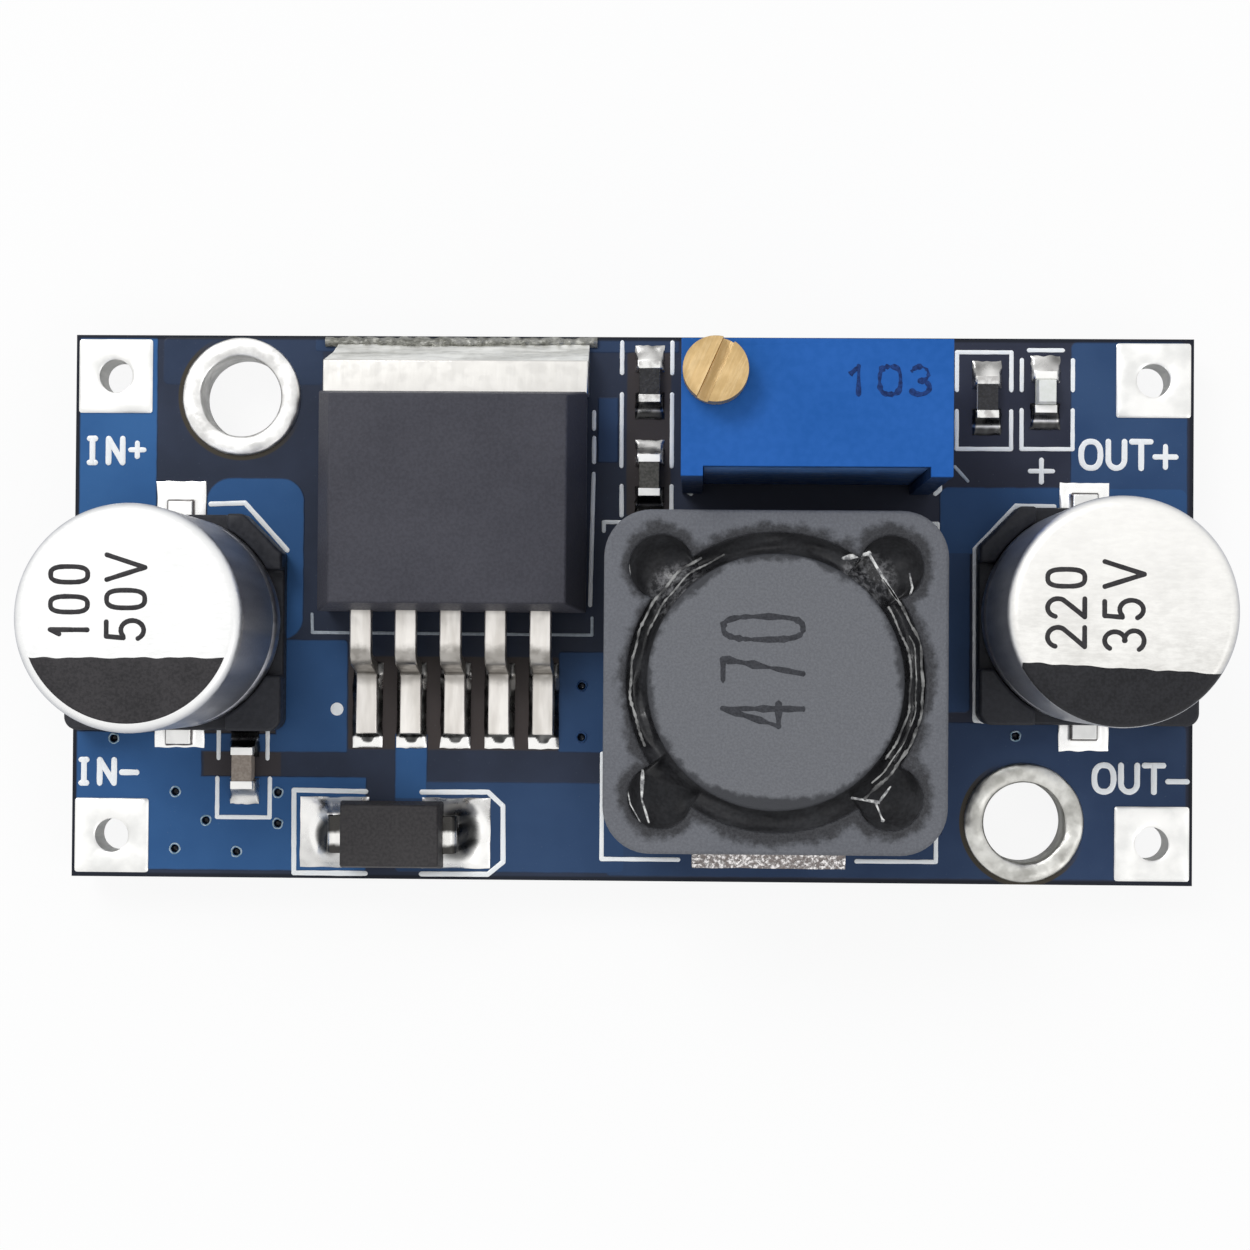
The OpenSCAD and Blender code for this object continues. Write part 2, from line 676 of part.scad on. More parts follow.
// One terminal: it leaves the body's end, turns down and folds back under the body
module diode_terminal(s) translate([diode_x, diode_y, seat]) rotate(90 - s * 90)
  strip(diode_term_w) translate([diode_l / 2 - diode_anchor, diode_mid]) {
    mid_r = diode_term_t;
    run(diode_anchor + diode_term_out - diode_term_t / 2 - mid_r, diode_term_t)
      bend(-90, mid_r, diode_term_t)
        run(diode_mid - diode_term_t / 2 - 2 * mid_r, diode_term_t)
          bend(-90, mid_r, diode_term_t)
            run(diode_fold, diode_term_t);
  }

module diode_terminals() color("silver") for (s = [-1, 1]) diode_terminal(s);

module diode_body() color("#2e2e31") difference() {
  translate([diode_x, diode_y, seat + diode_lift])
    moulded(diode_l, diode_w, diode_h, diode_h / 2, diode_draft, diode_draft, 1);
  for (s = [-1, 1]) diode_terminal(s);
}

// ---- inductor ----

module rounded_square(side, r) {
  square([side - 2 * r, side], center = true);
  square([side, side - 2 * r], center = true);
  for (sx = [-1, 1], sy = [-1, 1]) translate([sx, sy] * (side / 2 - r)) circle(r);
}

// Outline of the shield's opening: a round bore with a pocket towards each corner
module shield_opening(inset = 0) {
  circle(d = ind_bore_d - 2 * inset);
  for (sx = [-1, 1], sy = [-1, 1])
    translate([sx, sy] * ind_pocket_at) circle(ind_pocket_r - inset);
}

module at_inductor(z) translate([ind_x, ind_y, seat + z]) children();

module inductor_shield() color("#77777a") at_inductor(ind_base_t)
  linear_extrude(shield_h) difference() {
    rounded_square(ind_side, ind_corner_r);
    shield_opening();
  }

module inductor_drum() color("#6c6c70") at_inductor(ind_base_t) rotate_extrude() {
  square([drum_post_d / 2, drum_h]);
  for (z = [0, drum_h - drum_flange_t]) translate([0, z]) square([drum_d / 2, drum_flange_t]);
}

// Layers of round wire, wound tight on the post between the flanges
module inductor_winding() color("#a85a2a")
  at_inductor(ind_base_t + drum_h / 2 - wire_rows * wire_d / 2) rotate_extrude() {
    first = drum_post_d / 2 + turn_gap;
    filled = (wire_layers - 0.5) * wire_d;
    translate([first, 0]) square([filled, wire_rows * wire_d]);
    for (row = [0:wire_rows - 1]) translate([first + filled, (row + 0.5) * wire_d])
      circle(d = wire_d * 0.9);
  }

module clip_notches(gap) for (s = [-1, 1]) rotate(s * 90)
  translate([ind_side / 2 - ind_term_l, -ind_term_w / 2 - gap, -slack]) {
    cube([ind_term_l + slack, ind_term_w + 2 * gap, ind_term_t + slack]);
    translate([ind_term_l - ind_term_t, 0, 0])
      cube([ind_term_t + slack, ind_term_w + 2 * gap, ind_base_t + 2 * slack]);
  }

module inductor_base() color("#202022") at_inductor(0) difference() {
  linear_extrude(ind_base_t) rounded_square(ind_side, ind_corner_r);
  clip_notches(clip_gap);
}

// A clip lies under the base and turns up its side to the shield
module inductor_terminals() color("silver") at_inductor(0) for (s = [-1, 1]) rotate(s * 90)
  translate([ind_side / 2 - ind_term_l, -ind_term_w / 2, 0]) {
    cube([ind_term_l, ind_term_w, ind_term_t]);
    translate([ind_term_l - ind_term_t, 0, 0]) cube([ind_term_t, ind_term_w, ind_base_t]);
  }

module inductor_adhesive() color("#151517") at_inductor(ind_h - drum_flange_t)
  linear_extrude(drum_flange_t - glue_sink) difference() {
    shield_opening(glue_gap);
    circle(d = drum_d + 2 * glue_gap);
  }

// ---- trimmer ----

module at_screw(z) translate([screw_x, screw_y, z]) children();

module trimmer_housing() color("royalblue") difference() {
  slab(trim_x, trim_y, board_top, trim_l, trim_w, trim_h);
  // recess in front of the sealed face, open at the top
  translate([trim_left + trim_post_w, trim_front - slack, board_top - slack])
    cube([trim_l - 2 * trim_post_w, trim_recess + slack, trim_h + 2 * slack]);
  // window for the ceramic plate and its sealant
  translate([trim_left + trim_post_w, trim_front, board_top - slack])
    cube([trim_l - 2 * trim_post_w, plate_back - trim_front + slack,
          room_top - board_top + slack]);
  // room for the mechanism, open below
  translate([trim_left + trim_wall, plate_back, board_top - slack])
    cube([trim_l - 2 * trim_wall, trim_back - trim_wall - plate_back,
          room_top - board_top + slack]);
  // arches between the feet
  slab(trim_x, trim_y, board_top - slack, trim_l - 2 * trim_post_w, trim_w + 2 * slack,
       trim_foot_h + slack);
  // bearing of the screw, widened above for the sealing ring
  at_screw(room_top - slack)
    cylinder(d = shank_d + 2 * turn_gap, h = trim_top - room_top + 2 * slack);
  at_screw(trim_top - ring_t - head_gap)
    cylinder(d = shank_d + 2 * (ring_t + 2 * ring_squeeze), h = ring_t + head_gap + slack);
}

// One casting of resin: a floor round the pins and a skin in front of the plate
module trimmer_sealant() color("#16213f") difference() {
  inner_l = trim_l - 2 * trim_post_w - 2 * plate_gap;
  union() {
    translate([trim_x - inner_l / 2, seal_front, board_top + trim_foot_h])
      cube([inner_l, seal_t, room_top - board_top - trim_foot_h - plate_gap]);
    translate([trim_x - inner_l / 2, seal_front, board_top + trim_foot_h])
      cube([inner_l, trim_back - trim_wall - plate_gap - seal_front, seal_floor]);
  }
  trimmer_pin_set(pin_gap);
}

module trimmer_plate() color("whitesmoke") {
  inner_l = trim_l - 2 * trim_post_w - 2 * plate_gap;
  translate([trim_x - inner_l / 2, plate_front, room_floor])
    cube([inner_l, plate_t, room_top - room_floor - plate_gap]);
}

// Three pins; each one turns forward on the sealant and ends at the ceramic plate
module trimmer_pin_set(gap = 0) {
  for (i = [-1:1]) translate([trim_x + i * trim_pin_pitch, 0, 0]) {
    translate([0, trim_y, 0]) cylinder(d = trim_pin_d + 2 * gap, h = room_floor);
    translate([-pin_strip_w / 2 - gap, plate_back - gap, room_floor - pin_strip_t - gap]) {
      cube([pin_strip_w + 2 * gap, trim_y - plate_back + gap, pin_strip_t + 2 * gap]);
      cube([pin_strip_w + 2 * gap, pin_turn + 2 * gap, pin_rise + 2 * gap]);
    }
  }
}

module trimmer_pins() color("silver") trimmer_pin_set();

module trimmer_lands() color("silver")
  for (i = [-1:1]) hole_lands(trim_x + i * trim_pin_pitch, trim_y, trim_hole_d)
    circle(d = trim_land_d);

// Solder cones under the board, round the pins
module trimmer_solder() color("silver")
  for (i = [-1:1]) translate([trim_x + i * trim_pin_pitch, trim_y, pin_drop - land_t - cone_h])
    rotate_extrude() {
      wide = (trim_land_d - trim_pin_d) / 2;
      difference() {
        translate([trim_pin_d / 2 + pin_gap, 0]) square([wide, cone_h]);
        translate([trim_land_d / 2 + wide / 2, -wide / 4]) circle(wide);
      }
    }

module trimmer_screw() color("goldenrod") at_screw(0) {
  head_z = trim_top + head_gap;
  difference() {
    translate([0, 0, head_z]) cylinder(d = screw_head_d, h = screw_head_h - head_gap);
    translate([0, 0, trim_top + screw_head_h - slot_depth]) rotate(slot_angle)
      slab(0, 0, 0, screw_head_d + 2 * slack, slot_w, slot_depth + slack);
  }
  translate([0, 0, shank_end]) cylinder(d = shank_d, h = head_z - shank_end);
}

module trimmer_o_ring() color("#1c1c1c") at_screw(trim_top - ring_t / 2 - head_gap / 2)
  rotate_extrude() translate([shank_d / 2 + ring_t / 2 + ring_squeeze, 0]) circle(d = ring_t);

// The carriage is a half nut: it hugs the shank from the plate's side
module trimmer_carriage() color("ivory") difference() {
  translate([carriage_x0, carriage_front, carriage_z - carriage_h / 2])
    cube([carriage_l, carriage_back - carriage_front, carriage_h]);
  at_screw(carriage_z - carriage_h / 2 - slack)
    cylinder(d = shank_d + 2 * turn_gap, h = carriage_h + 2 * slack);
}

// Spring strip on the carriage, with its bent tip towards the plate
module trimmer_wiper() color("goldenrod")
  translate([carriage_x0 + carriage_l - wiper_from_end, carriage_front, carriage_z])
    rotate([0, 90, 0]) rotate(180) linear_extrude(wiper_w) {
      drop = carriage_front - plate_back - wiper_gap;
      translate([-carriage_h / 2, 0]) square([carriage_h, wiper_t]);
      translate([-wiper_t, 0]) square([2 * wiper_t, drop - wiper_t]);
      translate([0, drop - wiper_t]) circle(wiper_t);
    }

// ---- chip parts ----

// A chip's ceramic body, inside its tinned ends
module chip_core(p, height)
  slab(p.x, p.y, seat + chip_tin, chip_w - 2 * chip_tin, chip_l - 2 * chip_tin,
       height - 2 * chip_tin);

// The two tinned ends of a chip
module chip_ends(p, height) difference() {
  for (s = [-1, 1])
    slab(p.x, p.y + s * (chip_l - chip_end) / 2, seat, chip_w, chip_end, height);
  chip_core(p, height);
}

module resistor_bodies() color("white") for (p = resistors) chip_core(p, resistor_h);
module resistor_ends() color("silver") for (p = resistors) chip_ends(p, resistor_h);
module resistor_coats() color("#1b1b1d") for (p = resistors)
  slab(p.x, p.y, seat + resistor_h - chip_tin, chip_w - 2 * chip_tin,
       chip_l - 2 * (chip_end + chip_gap), chip_tin);
module ceramic_bodies() color("tan") for (p = ceramics) chip_core(p, ceramic_h);
module ceramic_ends() color("silver") for (p = ceramics) chip_ends(p, ceramic_h);

module led_base() color("white") chip_core(lamp, led_base_t);
module led_ends() color("khaki") chip_ends(lamp, led_base_t);
module led_lens() color("lightyellow") translate([lamp.x, lamp.y, seat + led_base_t - chip_tin])
  moulded(chip_w - 2 * chip_tin, chip_l - 2 * (chip_end + chip_gap), led_lens_h, chip_tin,
          2 * chip_tin, 2 * chip_tin, 0);

circuit_board();
wire_pads();
mounting_rings();
via_rings();
component_lands();
solder_fillets();
input_capacitor_can();
input_capacitor_base();
input_capacitor_leads();
output_capacitor_can();
output_capacitor_base();
output_capacitor_leads();
regulator_body();
regulator_tab();
regulator_leads();
diode_body();
diode_terminals();
inductor_shield();
inductor_drum();
inductor_winding();
inductor_base();
inductor_terminals();
inductor_adhesive();
trimmer_housing();
trimmer_sealant();
trimmer_plate();
trimmer_pins();
trimmer_lands();
trimmer_solder();
trimmer_screw();
trimmer_o_ring();
trimmer_carriage();
trimmer_wiper();
resistor_bodies();
resistor_coats();
resistor_ends();
ceramic_bodies();
ceramic_ends();
led_base();
led_lens();
led_ends();
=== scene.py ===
# %% [markdown]
# # Dressing a step-down converter board
# The packed CAD model holds every solid of a small power board in its true place. This
# lesson gives those solids the looks of the real thing: blue lacquer over copper, tinned
# pads, drawn aluminium cans, sintered ferrite, moulded plastic and a worn brass screw.
# Shapes that are already right keep their CAD mesh and only get a finish. Solder, ink, glue
# and rounded corners are soft and uneven on a real board, so they are made here as new
# surfaces, each in the place that the CAD solid gives it.

# %% Load the frame
import itertools
import json
import math
import bmesh
import bpy
import numpy as np
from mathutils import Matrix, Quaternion, Vector


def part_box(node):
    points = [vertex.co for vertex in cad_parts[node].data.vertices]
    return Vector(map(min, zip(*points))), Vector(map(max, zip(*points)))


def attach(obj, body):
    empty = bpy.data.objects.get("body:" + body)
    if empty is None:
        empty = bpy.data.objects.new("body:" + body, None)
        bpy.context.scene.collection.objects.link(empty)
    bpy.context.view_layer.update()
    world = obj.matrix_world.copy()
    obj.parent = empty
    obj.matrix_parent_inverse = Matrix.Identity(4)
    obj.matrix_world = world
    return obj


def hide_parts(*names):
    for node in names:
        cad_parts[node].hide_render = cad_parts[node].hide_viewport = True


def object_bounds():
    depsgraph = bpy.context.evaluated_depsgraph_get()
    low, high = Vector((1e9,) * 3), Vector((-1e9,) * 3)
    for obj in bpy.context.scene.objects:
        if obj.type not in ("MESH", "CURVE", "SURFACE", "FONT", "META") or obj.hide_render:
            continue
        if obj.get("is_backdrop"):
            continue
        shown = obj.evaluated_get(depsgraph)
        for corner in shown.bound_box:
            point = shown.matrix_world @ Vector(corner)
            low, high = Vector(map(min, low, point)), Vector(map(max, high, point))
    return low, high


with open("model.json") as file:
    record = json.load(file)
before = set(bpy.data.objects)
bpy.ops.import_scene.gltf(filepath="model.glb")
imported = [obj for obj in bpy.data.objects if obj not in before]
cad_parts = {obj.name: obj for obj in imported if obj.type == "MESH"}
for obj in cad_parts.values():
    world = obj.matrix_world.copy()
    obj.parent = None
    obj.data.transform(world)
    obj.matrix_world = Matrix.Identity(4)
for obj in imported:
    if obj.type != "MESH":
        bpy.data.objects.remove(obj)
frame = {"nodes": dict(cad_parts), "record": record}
cad_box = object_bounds()
MM = 0.001
BODY_OF = {n: b for b, ns in frame["record"]["behaviour"]["bodies"].items() for n in ns}

# %% [markdown]
# ## Reading places from the CAD
# Positions come from the CAD nodes, so that nothing floats or sinks when a size changes.
# A node may hold many separate solids, such as every tinned land on the board. They can be
# told apart by their corners: faces that share a corner belong to one solid. Giving each
# corner a number and passing the lowest number along every face is a neat whole-array way.

# %% Boxes of nodes and of their separate solids
def span(node):
    """A CAD node's lowest and highest corner, in millimetres."""
    low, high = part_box(node)
    return np.array(low) / MM, np.array(high) / MM


def islands(node):
    """Boxes in mm of a node's separate solids, left to right. Corners in one spot get one
    number; each face then hands its lowest number to its corners until nothing changes."""
    mesh = frame["nodes"][node].data
    mesh.calc_loop_triangles()
    corners = np.empty(len(mesh.vertices) * 3)
    mesh.vertices.foreach_get("co", corners)
    faces = np.empty(len(mesh.loop_triangles) * 3, int)
    mesh.loop_triangles.foreach_get("vertices", faces)
    spots, spot_of = np.unique(np.round(corners.reshape(-1, 3) / MM, 4) + 0.0, axis=0,
                               return_inverse=True)
    faces = spot_of.ravel()[faces].reshape(-1, 3)
    number, last = np.arange(len(spots)), None
    while last is None or (number != last).any():
        last = number.copy()
        np.minimum.at(number, faces.ravel(), np.repeat(number[faces].min(1), 3))
        number = number[number]
    groups = [spots[number == k] for k in np.unique(number)]
    boxes = [(g.min(0), g.max(0)) for g in groups]
    return sorted(boxes, key=lambda b: (round(b[0][0], 2), round(b[0][1], 2)))


def disc(low, high):
    """The middle in x and y of a box, and half its width."""
    return (low[0] + high[0]) / 2, (low[1] + high[1]) / 2, (high[0] - low[0]) / 2


board_low, board_high = span("circuit_board")
BOARD_TOP, BOARD_UNDER = board_high[2], board_low[2]
BOARD_MIDDLE = (BOARD_TOP + BOARD_UNDER) / 2
lands = islands("component_lands")
print("board from", board_low, "to", board_high, "with", len(lands), "lands")

# %% [markdown]
# ## From arrays to pieces
# Every new shape here is one idea: closed rings of points, laid one after another, with
# faces between neighbours. A turned can, a bead of solder, a stroke of ink and a ring of
# tin are all that. If the last ring joins the first the surface closes on itself, and
# otherwise its two ends get lids. The whole grid is worked out at once with numpy.

# %% Rings to surfaces
def loft(rings, around=False):
    """Surface through closed rings, an array of (rings, points, 3) in mm. Point i joins
    point i + 1 of its ring and the same two of the next ring; `around` joins last to first."""
    count, points = rings.shape[:2]
    number = np.arange(count * points).reshape(count, points)
    beside = np.roll(number, -1, axis=1)
    end = None if around else -1
    ahead, ahead_beside = np.roll(number, -1, axis=0), np.roll(beside, -1, axis=0)
    quads = np.stack([number[:end], beside[:end], ahead_beside[:end], ahead[:end]], -1)
    faces = [quads.reshape(-1, 4)]
    if not around:
        faces += [number[:1, ::-1], number[-1:]]
    return rings.reshape(-1, 3), faces


def grid(rows, columns):
    """Shares from 0 to 1 down the rows and along the columns of a grid of points."""
    return np.meshgrid(np.linspace(0, 1, rows), np.linspace(0, 1, columns), indexing="ij")


def slab(x, y, top, floor):
    """A closed surface over one grid of points in mm, between two heights."""
    upper, under = (np.stack([x, y, np.broadcast_to(z, x.shape)], -1) for z in (top, floor))
    return loft(np.concatenate([upper, under[:, ::-1]], axis=1))


CREASE = 38  # degrees from which an edge looks sharp
print("three rings of four points:", len(loft(np.zeros((3, 4, 3)))[1][0]), "side faces")


# %% Surfaces to one object, and CAD meshes with rounded corners
def piece(name, surfaces, finish, body="module", instead=(), crease=CREASE):
    """One object from surfaces in mm: doubles merged, faces turned outwards, smooth but
    for creases. It rides on a CAD body and may stand for CAD nodes. A surface may bring a
    third array, the painted shine of each point (painted reflection, highlight and shade),
    which its finish can read."""
    points, faces, start = [], [], 0
    for corners, groups, *shine in surfaces:
        points.append(corners)
        faces += [face for g in groups for face in (g + start).tolist()]
        start += len(corners)
    mesh = bpy.data.meshes.new(name)
    mesh.from_pydata((np.concatenate(points) * MM).tolist(), [], faces)
    if shine:
        layer = mesh.attributes.new("shine", "FLOAT", "POINT")
        layer.data.foreach_set("value", np.concatenate([s[2] for s in surfaces]))
    tidy(mesh, turn=True)
    return finished(name, mesh, finish, body, instead, crease)


def tidy(mesh, turn=False, flatten=False):
    """Merges corners that lie on one spot, and turns faces outwards or joins flat ones."""
    work = bmesh.new()
    work.from_mesh(mesh)
    bmesh.ops.remove_doubles(work, verts=work.verts, dist=2e-7)
    if flatten:
        bmesh.ops.dissolve_limit(work, angle_limit=math.radians(1), verts=work.verts,
                                 edges=work.edges)
    if turn:
        bmesh.ops.recalc_face_normals(work, faces=work.faces)
    work.to_mesh(mesh)
    work.free()


def finished(name, mesh, finish, body, instead, crease):
    """Puts a mesh in the scene with its finish, body and CAD nodes."""
    mesh.materials.clear()
    mesh.materials.append(finish)
    mesh.shade_smooth()
    mesh.set_sharp_from_angle(angle=math.radians(crease))
    obj = bpy.data.objects.new(name, mesh)
    bpy.context.scene.collection.objects.link(obj)
    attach(obj, body)
    if instead:
        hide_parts(*instead)
    print(f"{name}: {len(mesh.polygons)} faces")
    return obj


def soften(node, finish, width, steps=2):
    """A copy of a CAD node whose corners are rounded by `width` mm with a Bevel."""
    mesh = frame["nodes"][node].data.copy()
    tidy(mesh, flatten=True)
    obj = finished(node + "_rounded", mesh, finish, BODY_OF[node], [node], CREASE)
    bevel = obj.modifiers.new("rounded corners", "BEVEL")
    bevel.width, bevel.segments = width * MM, steps
    bevel.limit_method, bevel.angle_limit = "ANGLE", math.radians(30)


def keep(node, finish):
    """Shows a CAD node as it is, with a new finish."""
    obj = frame["nodes"][node]
    obj.data.materials.clear()
    obj.data.materials.append(finish)


# %% Unevenness, arcs and turned shapes
def ripple(x, y, size, seed):
    """Smooth unevenness of about -1 to 1 at x, y: the mean of seven sine waves about `size`
    long, whose directions and starts come from a seeded generator."""
    dice = np.random.default_rng(seed)
    way, start = dice.uniform(0, 2 * np.pi, (2, 7))
    pace = dice.uniform(0.6, 1.6, 7) * 2 * np.pi / size
    x, y = np.asarray(x)[..., None], np.asarray(y)[..., None]
    return np.sin(pace * (x * np.cos(way) + y * np.sin(way)) + start).mean(-1) * 2


def arc(x, y, radius, start, end, steps=8):
    """Points on a circle's arc: centre + radius * (cos, sin), from start to end degrees."""
    turn = np.radians(np.linspace(start, end, steps))
    return np.stack([x + radius * np.cos(turn), y + radius * np.sin(turn)], -1)


def turned(profile, x, y, steps, wobble=0.0, seed=0):
    """A turned surface about an upright axis at x, y: each (radius, z) of the profile makes
    a ring. Wobble adds that many mm of slow unevenness to the radius."""
    turn = np.linspace(0, 2 * np.pi, steps, endpoint=False)
    radius = profile[:, :1] + (wobble * ripple(np.cos(turn), np.sin(turn), 1.4, seed)
                               if wobble else 0 * turn)
    return np.stack([x + radius * np.cos(turn), y + radius * np.sin(turn),
                     np.broadcast_to(profile[:, 1:], radius.shape)], -1)


print("an arc from", arc(0, 0, 1, 0, 90)[0], "to", arc(0, 0, 1, 0, 90)[-1].round(3))

# %% [markdown]
# ## A small language for materials
# A material is a graph of nodes, and long graphs are hard to read as lists of links. Here a
# class wraps one socket and overloads Python's operators, so that 1 - mask or depth * 0.5
# adds the Math node by itself. One method adds any other node. Patterns are read from
# Object coordinates, which are the CAD frame, so they are given in millimetres and stay
# where they are on the part. Only colour, roughness, metal and bump vary over a surface.

# %% Sockets with arithmetic
class Wire:
    """A socket of a finish. Each operator adds one Math node."""

    def __init__(self, finish, socket):
        self.finish, self.socket = finish, socket

    def maths(self, operation, other=None, reflected=False):
        """One Math node on this socket and another socket or number."""
        terms = [self] if other is None else [other, self] if reflected else [self, other]
        return self.finish.node("Math", {"operation": operation}, dict(enumerate(terms)))

    def __add__(self, other): return self.maths("ADD", other)
    def __radd__(self, other): return self.maths("ADD", other, True)
    def __sub__(self, other): return self.maths("SUBTRACT", other)
    def __rsub__(self, other): return self.maths("SUBTRACT", other, True)
    def __mul__(self, other): return self.maths("MULTIPLY", other)
    def __rmul__(self, other): return self.maths("MULTIPLY", other, True)
    def __pow__(self, other): return self.maths("POWER", other)
    def __abs__(self): return self.maths("ABSOLUTE")
    def least(self, other): return self.maths("MINIMUM", other)
    def most(self, other): return self.maths("MAXIMUM", other)
    def hypot(self, other): return (self * self + other * other) ** 0.5

    def ramp(self, start=0.3, end=0.7, low=0.0, high=1.0):
        """Goes smoothly from low to high while this socket goes from start to end. The
        values given here spread a noise, which keeps near 0.5, over all of 0 to 1."""
        return self.finish.node("MapRange", {"interpolation_type": "SMOOTHSTEP"},
                                {0: self, 1: start, 2: end, 3: low, 4: high})


print("a wire can", [name for name in vars(Wire) if name[0] != "_"])


# %% The finish that they belong to
class Finish:
    """A material with one Principled shader. Constants go straight to its own sockets."""

    def __init__(self, name, **constants):
        self.material = bpy.data.materials.new(name)
        self.material.use_nodes = True
        self.tree = self.material.node_tree
        self.tree.nodes.clear()
        self.shader = self.tree.nodes.new("ShaderNodeBsdfPrincipled")
        end = self.tree.nodes.new("ShaderNodeOutputMaterial")
        self.tree.links.new(self.shader.outputs[0], end.inputs[0])
        for socket, value in constants.items():
            self.shader.inputs[socket.replace("_", " ")].default_value = value
        self.spot = self.place()

    def node(self, kind, settings=None, inputs=None, output=0):
        """Any node: its type, its settings, then values or links for its sockets."""
        made = self.tree.nodes.new("ShaderNode" + kind)
        for name, value in (settings or {}).items():
            setattr(made, name, value)
        for name, value in (inputs or {}).items():
            if isinstance(value, Wire):
                self.tree.links.new(value.socket, made.inputs[name])
            else:
                made.inputs[name].default_value = value
        return Wire(self, made.outputs[output])

    def place(self):
        """Object coordinates in millimetres, as a vector."""
        spot = self.node("TexCoord", output="Object")
        return self.node("VectorMath", {"operation": "SCALE"}, {0: spot, "Scale": 1000.0})

    def axes(self):
        """The x, y and z of the place, in mm."""
        return [self.node("SeparateXYZ", None, {0: self.spot}, k) for k in range(3)]

    def noise(self, size, detail=3.0, stretch=(1, 1, 1), shift=0.0, rough=0.5, spot=None):
        """Cloudy noise from 0 to 1, with clouds of about `size` mm, stretched per axis."""
        scale = tuple(1 / s for s in stretch)
        moved = self.node("VectorMath", {"operation": "MULTIPLY_ADD"},
                          {0: spot or self.spot, 1: scale,
                           2: (shift, shift * 0.7, shift * 0.3)})
        return self.node("TexNoise", None, {"Vector": moved, "Scale": 1 / size,
                                            "Detail": detail, "Roughness": rough})

    def tint(self, share, low, high):
        """A colour between low and high, each a colour or the result of another tint."""
        low, high = ((*c, 1.0) if isinstance(c, tuple) else c for c in (low, high))
        return self.node("Mix", {"data_type": "RGBA"}, {0: share, 6: low, 7: high}, 2)

    def relief(self, height, depth):
        """Bump of `depth` mm between height 0 and 1."""
        self.put("Normal", self.node("Bump", None, {"Height": height, "Strength": 1.0,
                                                    "Distance": depth * MM}))

    def put(self, socket, wire):
        """Links a wire to one of the shader's own sockets."""
        self.tree.links.new(wire.socket, self.shader.inputs[socket])

    def wear(self, colour, rough, height=None, depth=0.0):
        """Links colour and roughness, and bump where there is a height."""
        self.put("Base Color", colour)
        self.put("Roughness", rough)
        if height is not None:
            self.relief(height, depth)
        return self.material


print("a finish can", [name for name in vars(Finish) if name[0] != "_"])

# %% [markdown]
# ## Metals
# Tin on a board is laid by hot solder and hot air: pale, a little cloudy, wavy over tenths
# of a millimetre, with dull grains here and there. Fresh solder is smoother; its dark and
# bright patches are painted reflections, partly also flux and uneven oxide. Both are metal, so
# their colour is their reflection; what varies is roughness, a slight grey cloud and the
# bump. A brushed or stamped part gets its noise stretched along the way that it was rolled.

# %% Tin, solder, leads and bronze
def metal(name, bright, dull, cloud, rough, wave, depth, stretch=(1, 1, 1), grain=0.0):
    """A metal whose colour goes from dull to bright in clouds of `cloud` mm, whose
    roughness goes between the two values of `rough`, with waves of `depth` mm."""
    f = Finish(name, Metallic=1.0)
    clouds = f.noise(cloud, 4.0, stretch).ramp(0.36, 0.62)
    fine = f.noise(wave * 0.3, 3.0, stretch, 11.0)
    shade = (clouds * (1 - grain) + fine.ramp(0.35, 0.6) * grain)
    return f.wear(f.tint(shade, dull, bright),
                  f.noise(wave, 4.0, stretch, 5.0).ramp(0.3, 0.7, *rough),
                  f.noise(wave, 3.0, stretch, 3.0) * 0.8 + fine * 0.2, depth)


TIN = metal("tinned_copper", (0.91, 0.905, 0.885), (0.76, 0.76, 0.745), 1.4, (0.34, 0.46),
            0.8, 0.008)
# set solder's dark and bright clouds: painted reflections, partly flux and oxide
SOLDER = metal("set_solder", (0.88, 0.88, 0.86), (0.52, 0.51, 0.50), 0.35, (0.14, 0.30),
               0.4, 0.015)
LEAD = metal("plated_lead", (0.83, 0.80, 0.76), (0.68, 0.65, 0.61), 0.5, (0.28, 0.42),
             0.5, 0.006, (1, 5, 1), 0.45)
SLOPE = metal("dull_solder", (0.92, 0.92, 0.89), (0.62, 0.62, 0.59), 0.5, (0.36, 0.55),
              0.4, 0.012, (4, 1, 1), 0.35)
CRUST = metal("dull_crust", (0.34, 0.34, 0.32), (0.15, 0.15, 0.13), 0.3, (0.45, 0.6),
              0.2, 0.03, (2, 1, 1), 0.4)
BRONZE = metal("spring_bronze", (0.72, 0.50, 0.26), (0.52, 0.34, 0.16), 0.3, (0.2, 0.35),
               0.3, 0.004)
print("metals:", [m.name for m in (TIN, SOLDER, LEAD, SLOPE, CRUST, BRONZE)])

# %% [markdown]
# ## Plastics, ferrite, ceramics and ink
# These are not metal: their colour is their own, and a weak gloss lies over it. Moulding
# compound is nearly black with a fine grey grain. Ferrite is pressed powder, so it is
# speckled at a tenth of a millimetre. Ink is thin and breaks up on a rough ground.

# %% One recipe for plain grounds
def ground(name, deep, pale, grain, rough, depth, sheen=0.3, cloud=2.5, mottle=0.35):
    """A matt ground between two colours: slow clouds of `cloud` mm and a grain of `grain`
    mm decide the share of each, and the grain stands out by `depth` mm."""
    f = Finish(name, Specular_IOR_Level=sheen)
    slow = f.noise(cloud, 3.0, shift=2.0).ramp()
    fine = f.noise(grain, 2.0, shift=7.0).ramp()
    return f.wear(f.tint(slow * mottle + fine * (1 - mottle), deep, pale),
                  fine.ramp(0, 1, *rough),
                  fine, depth)


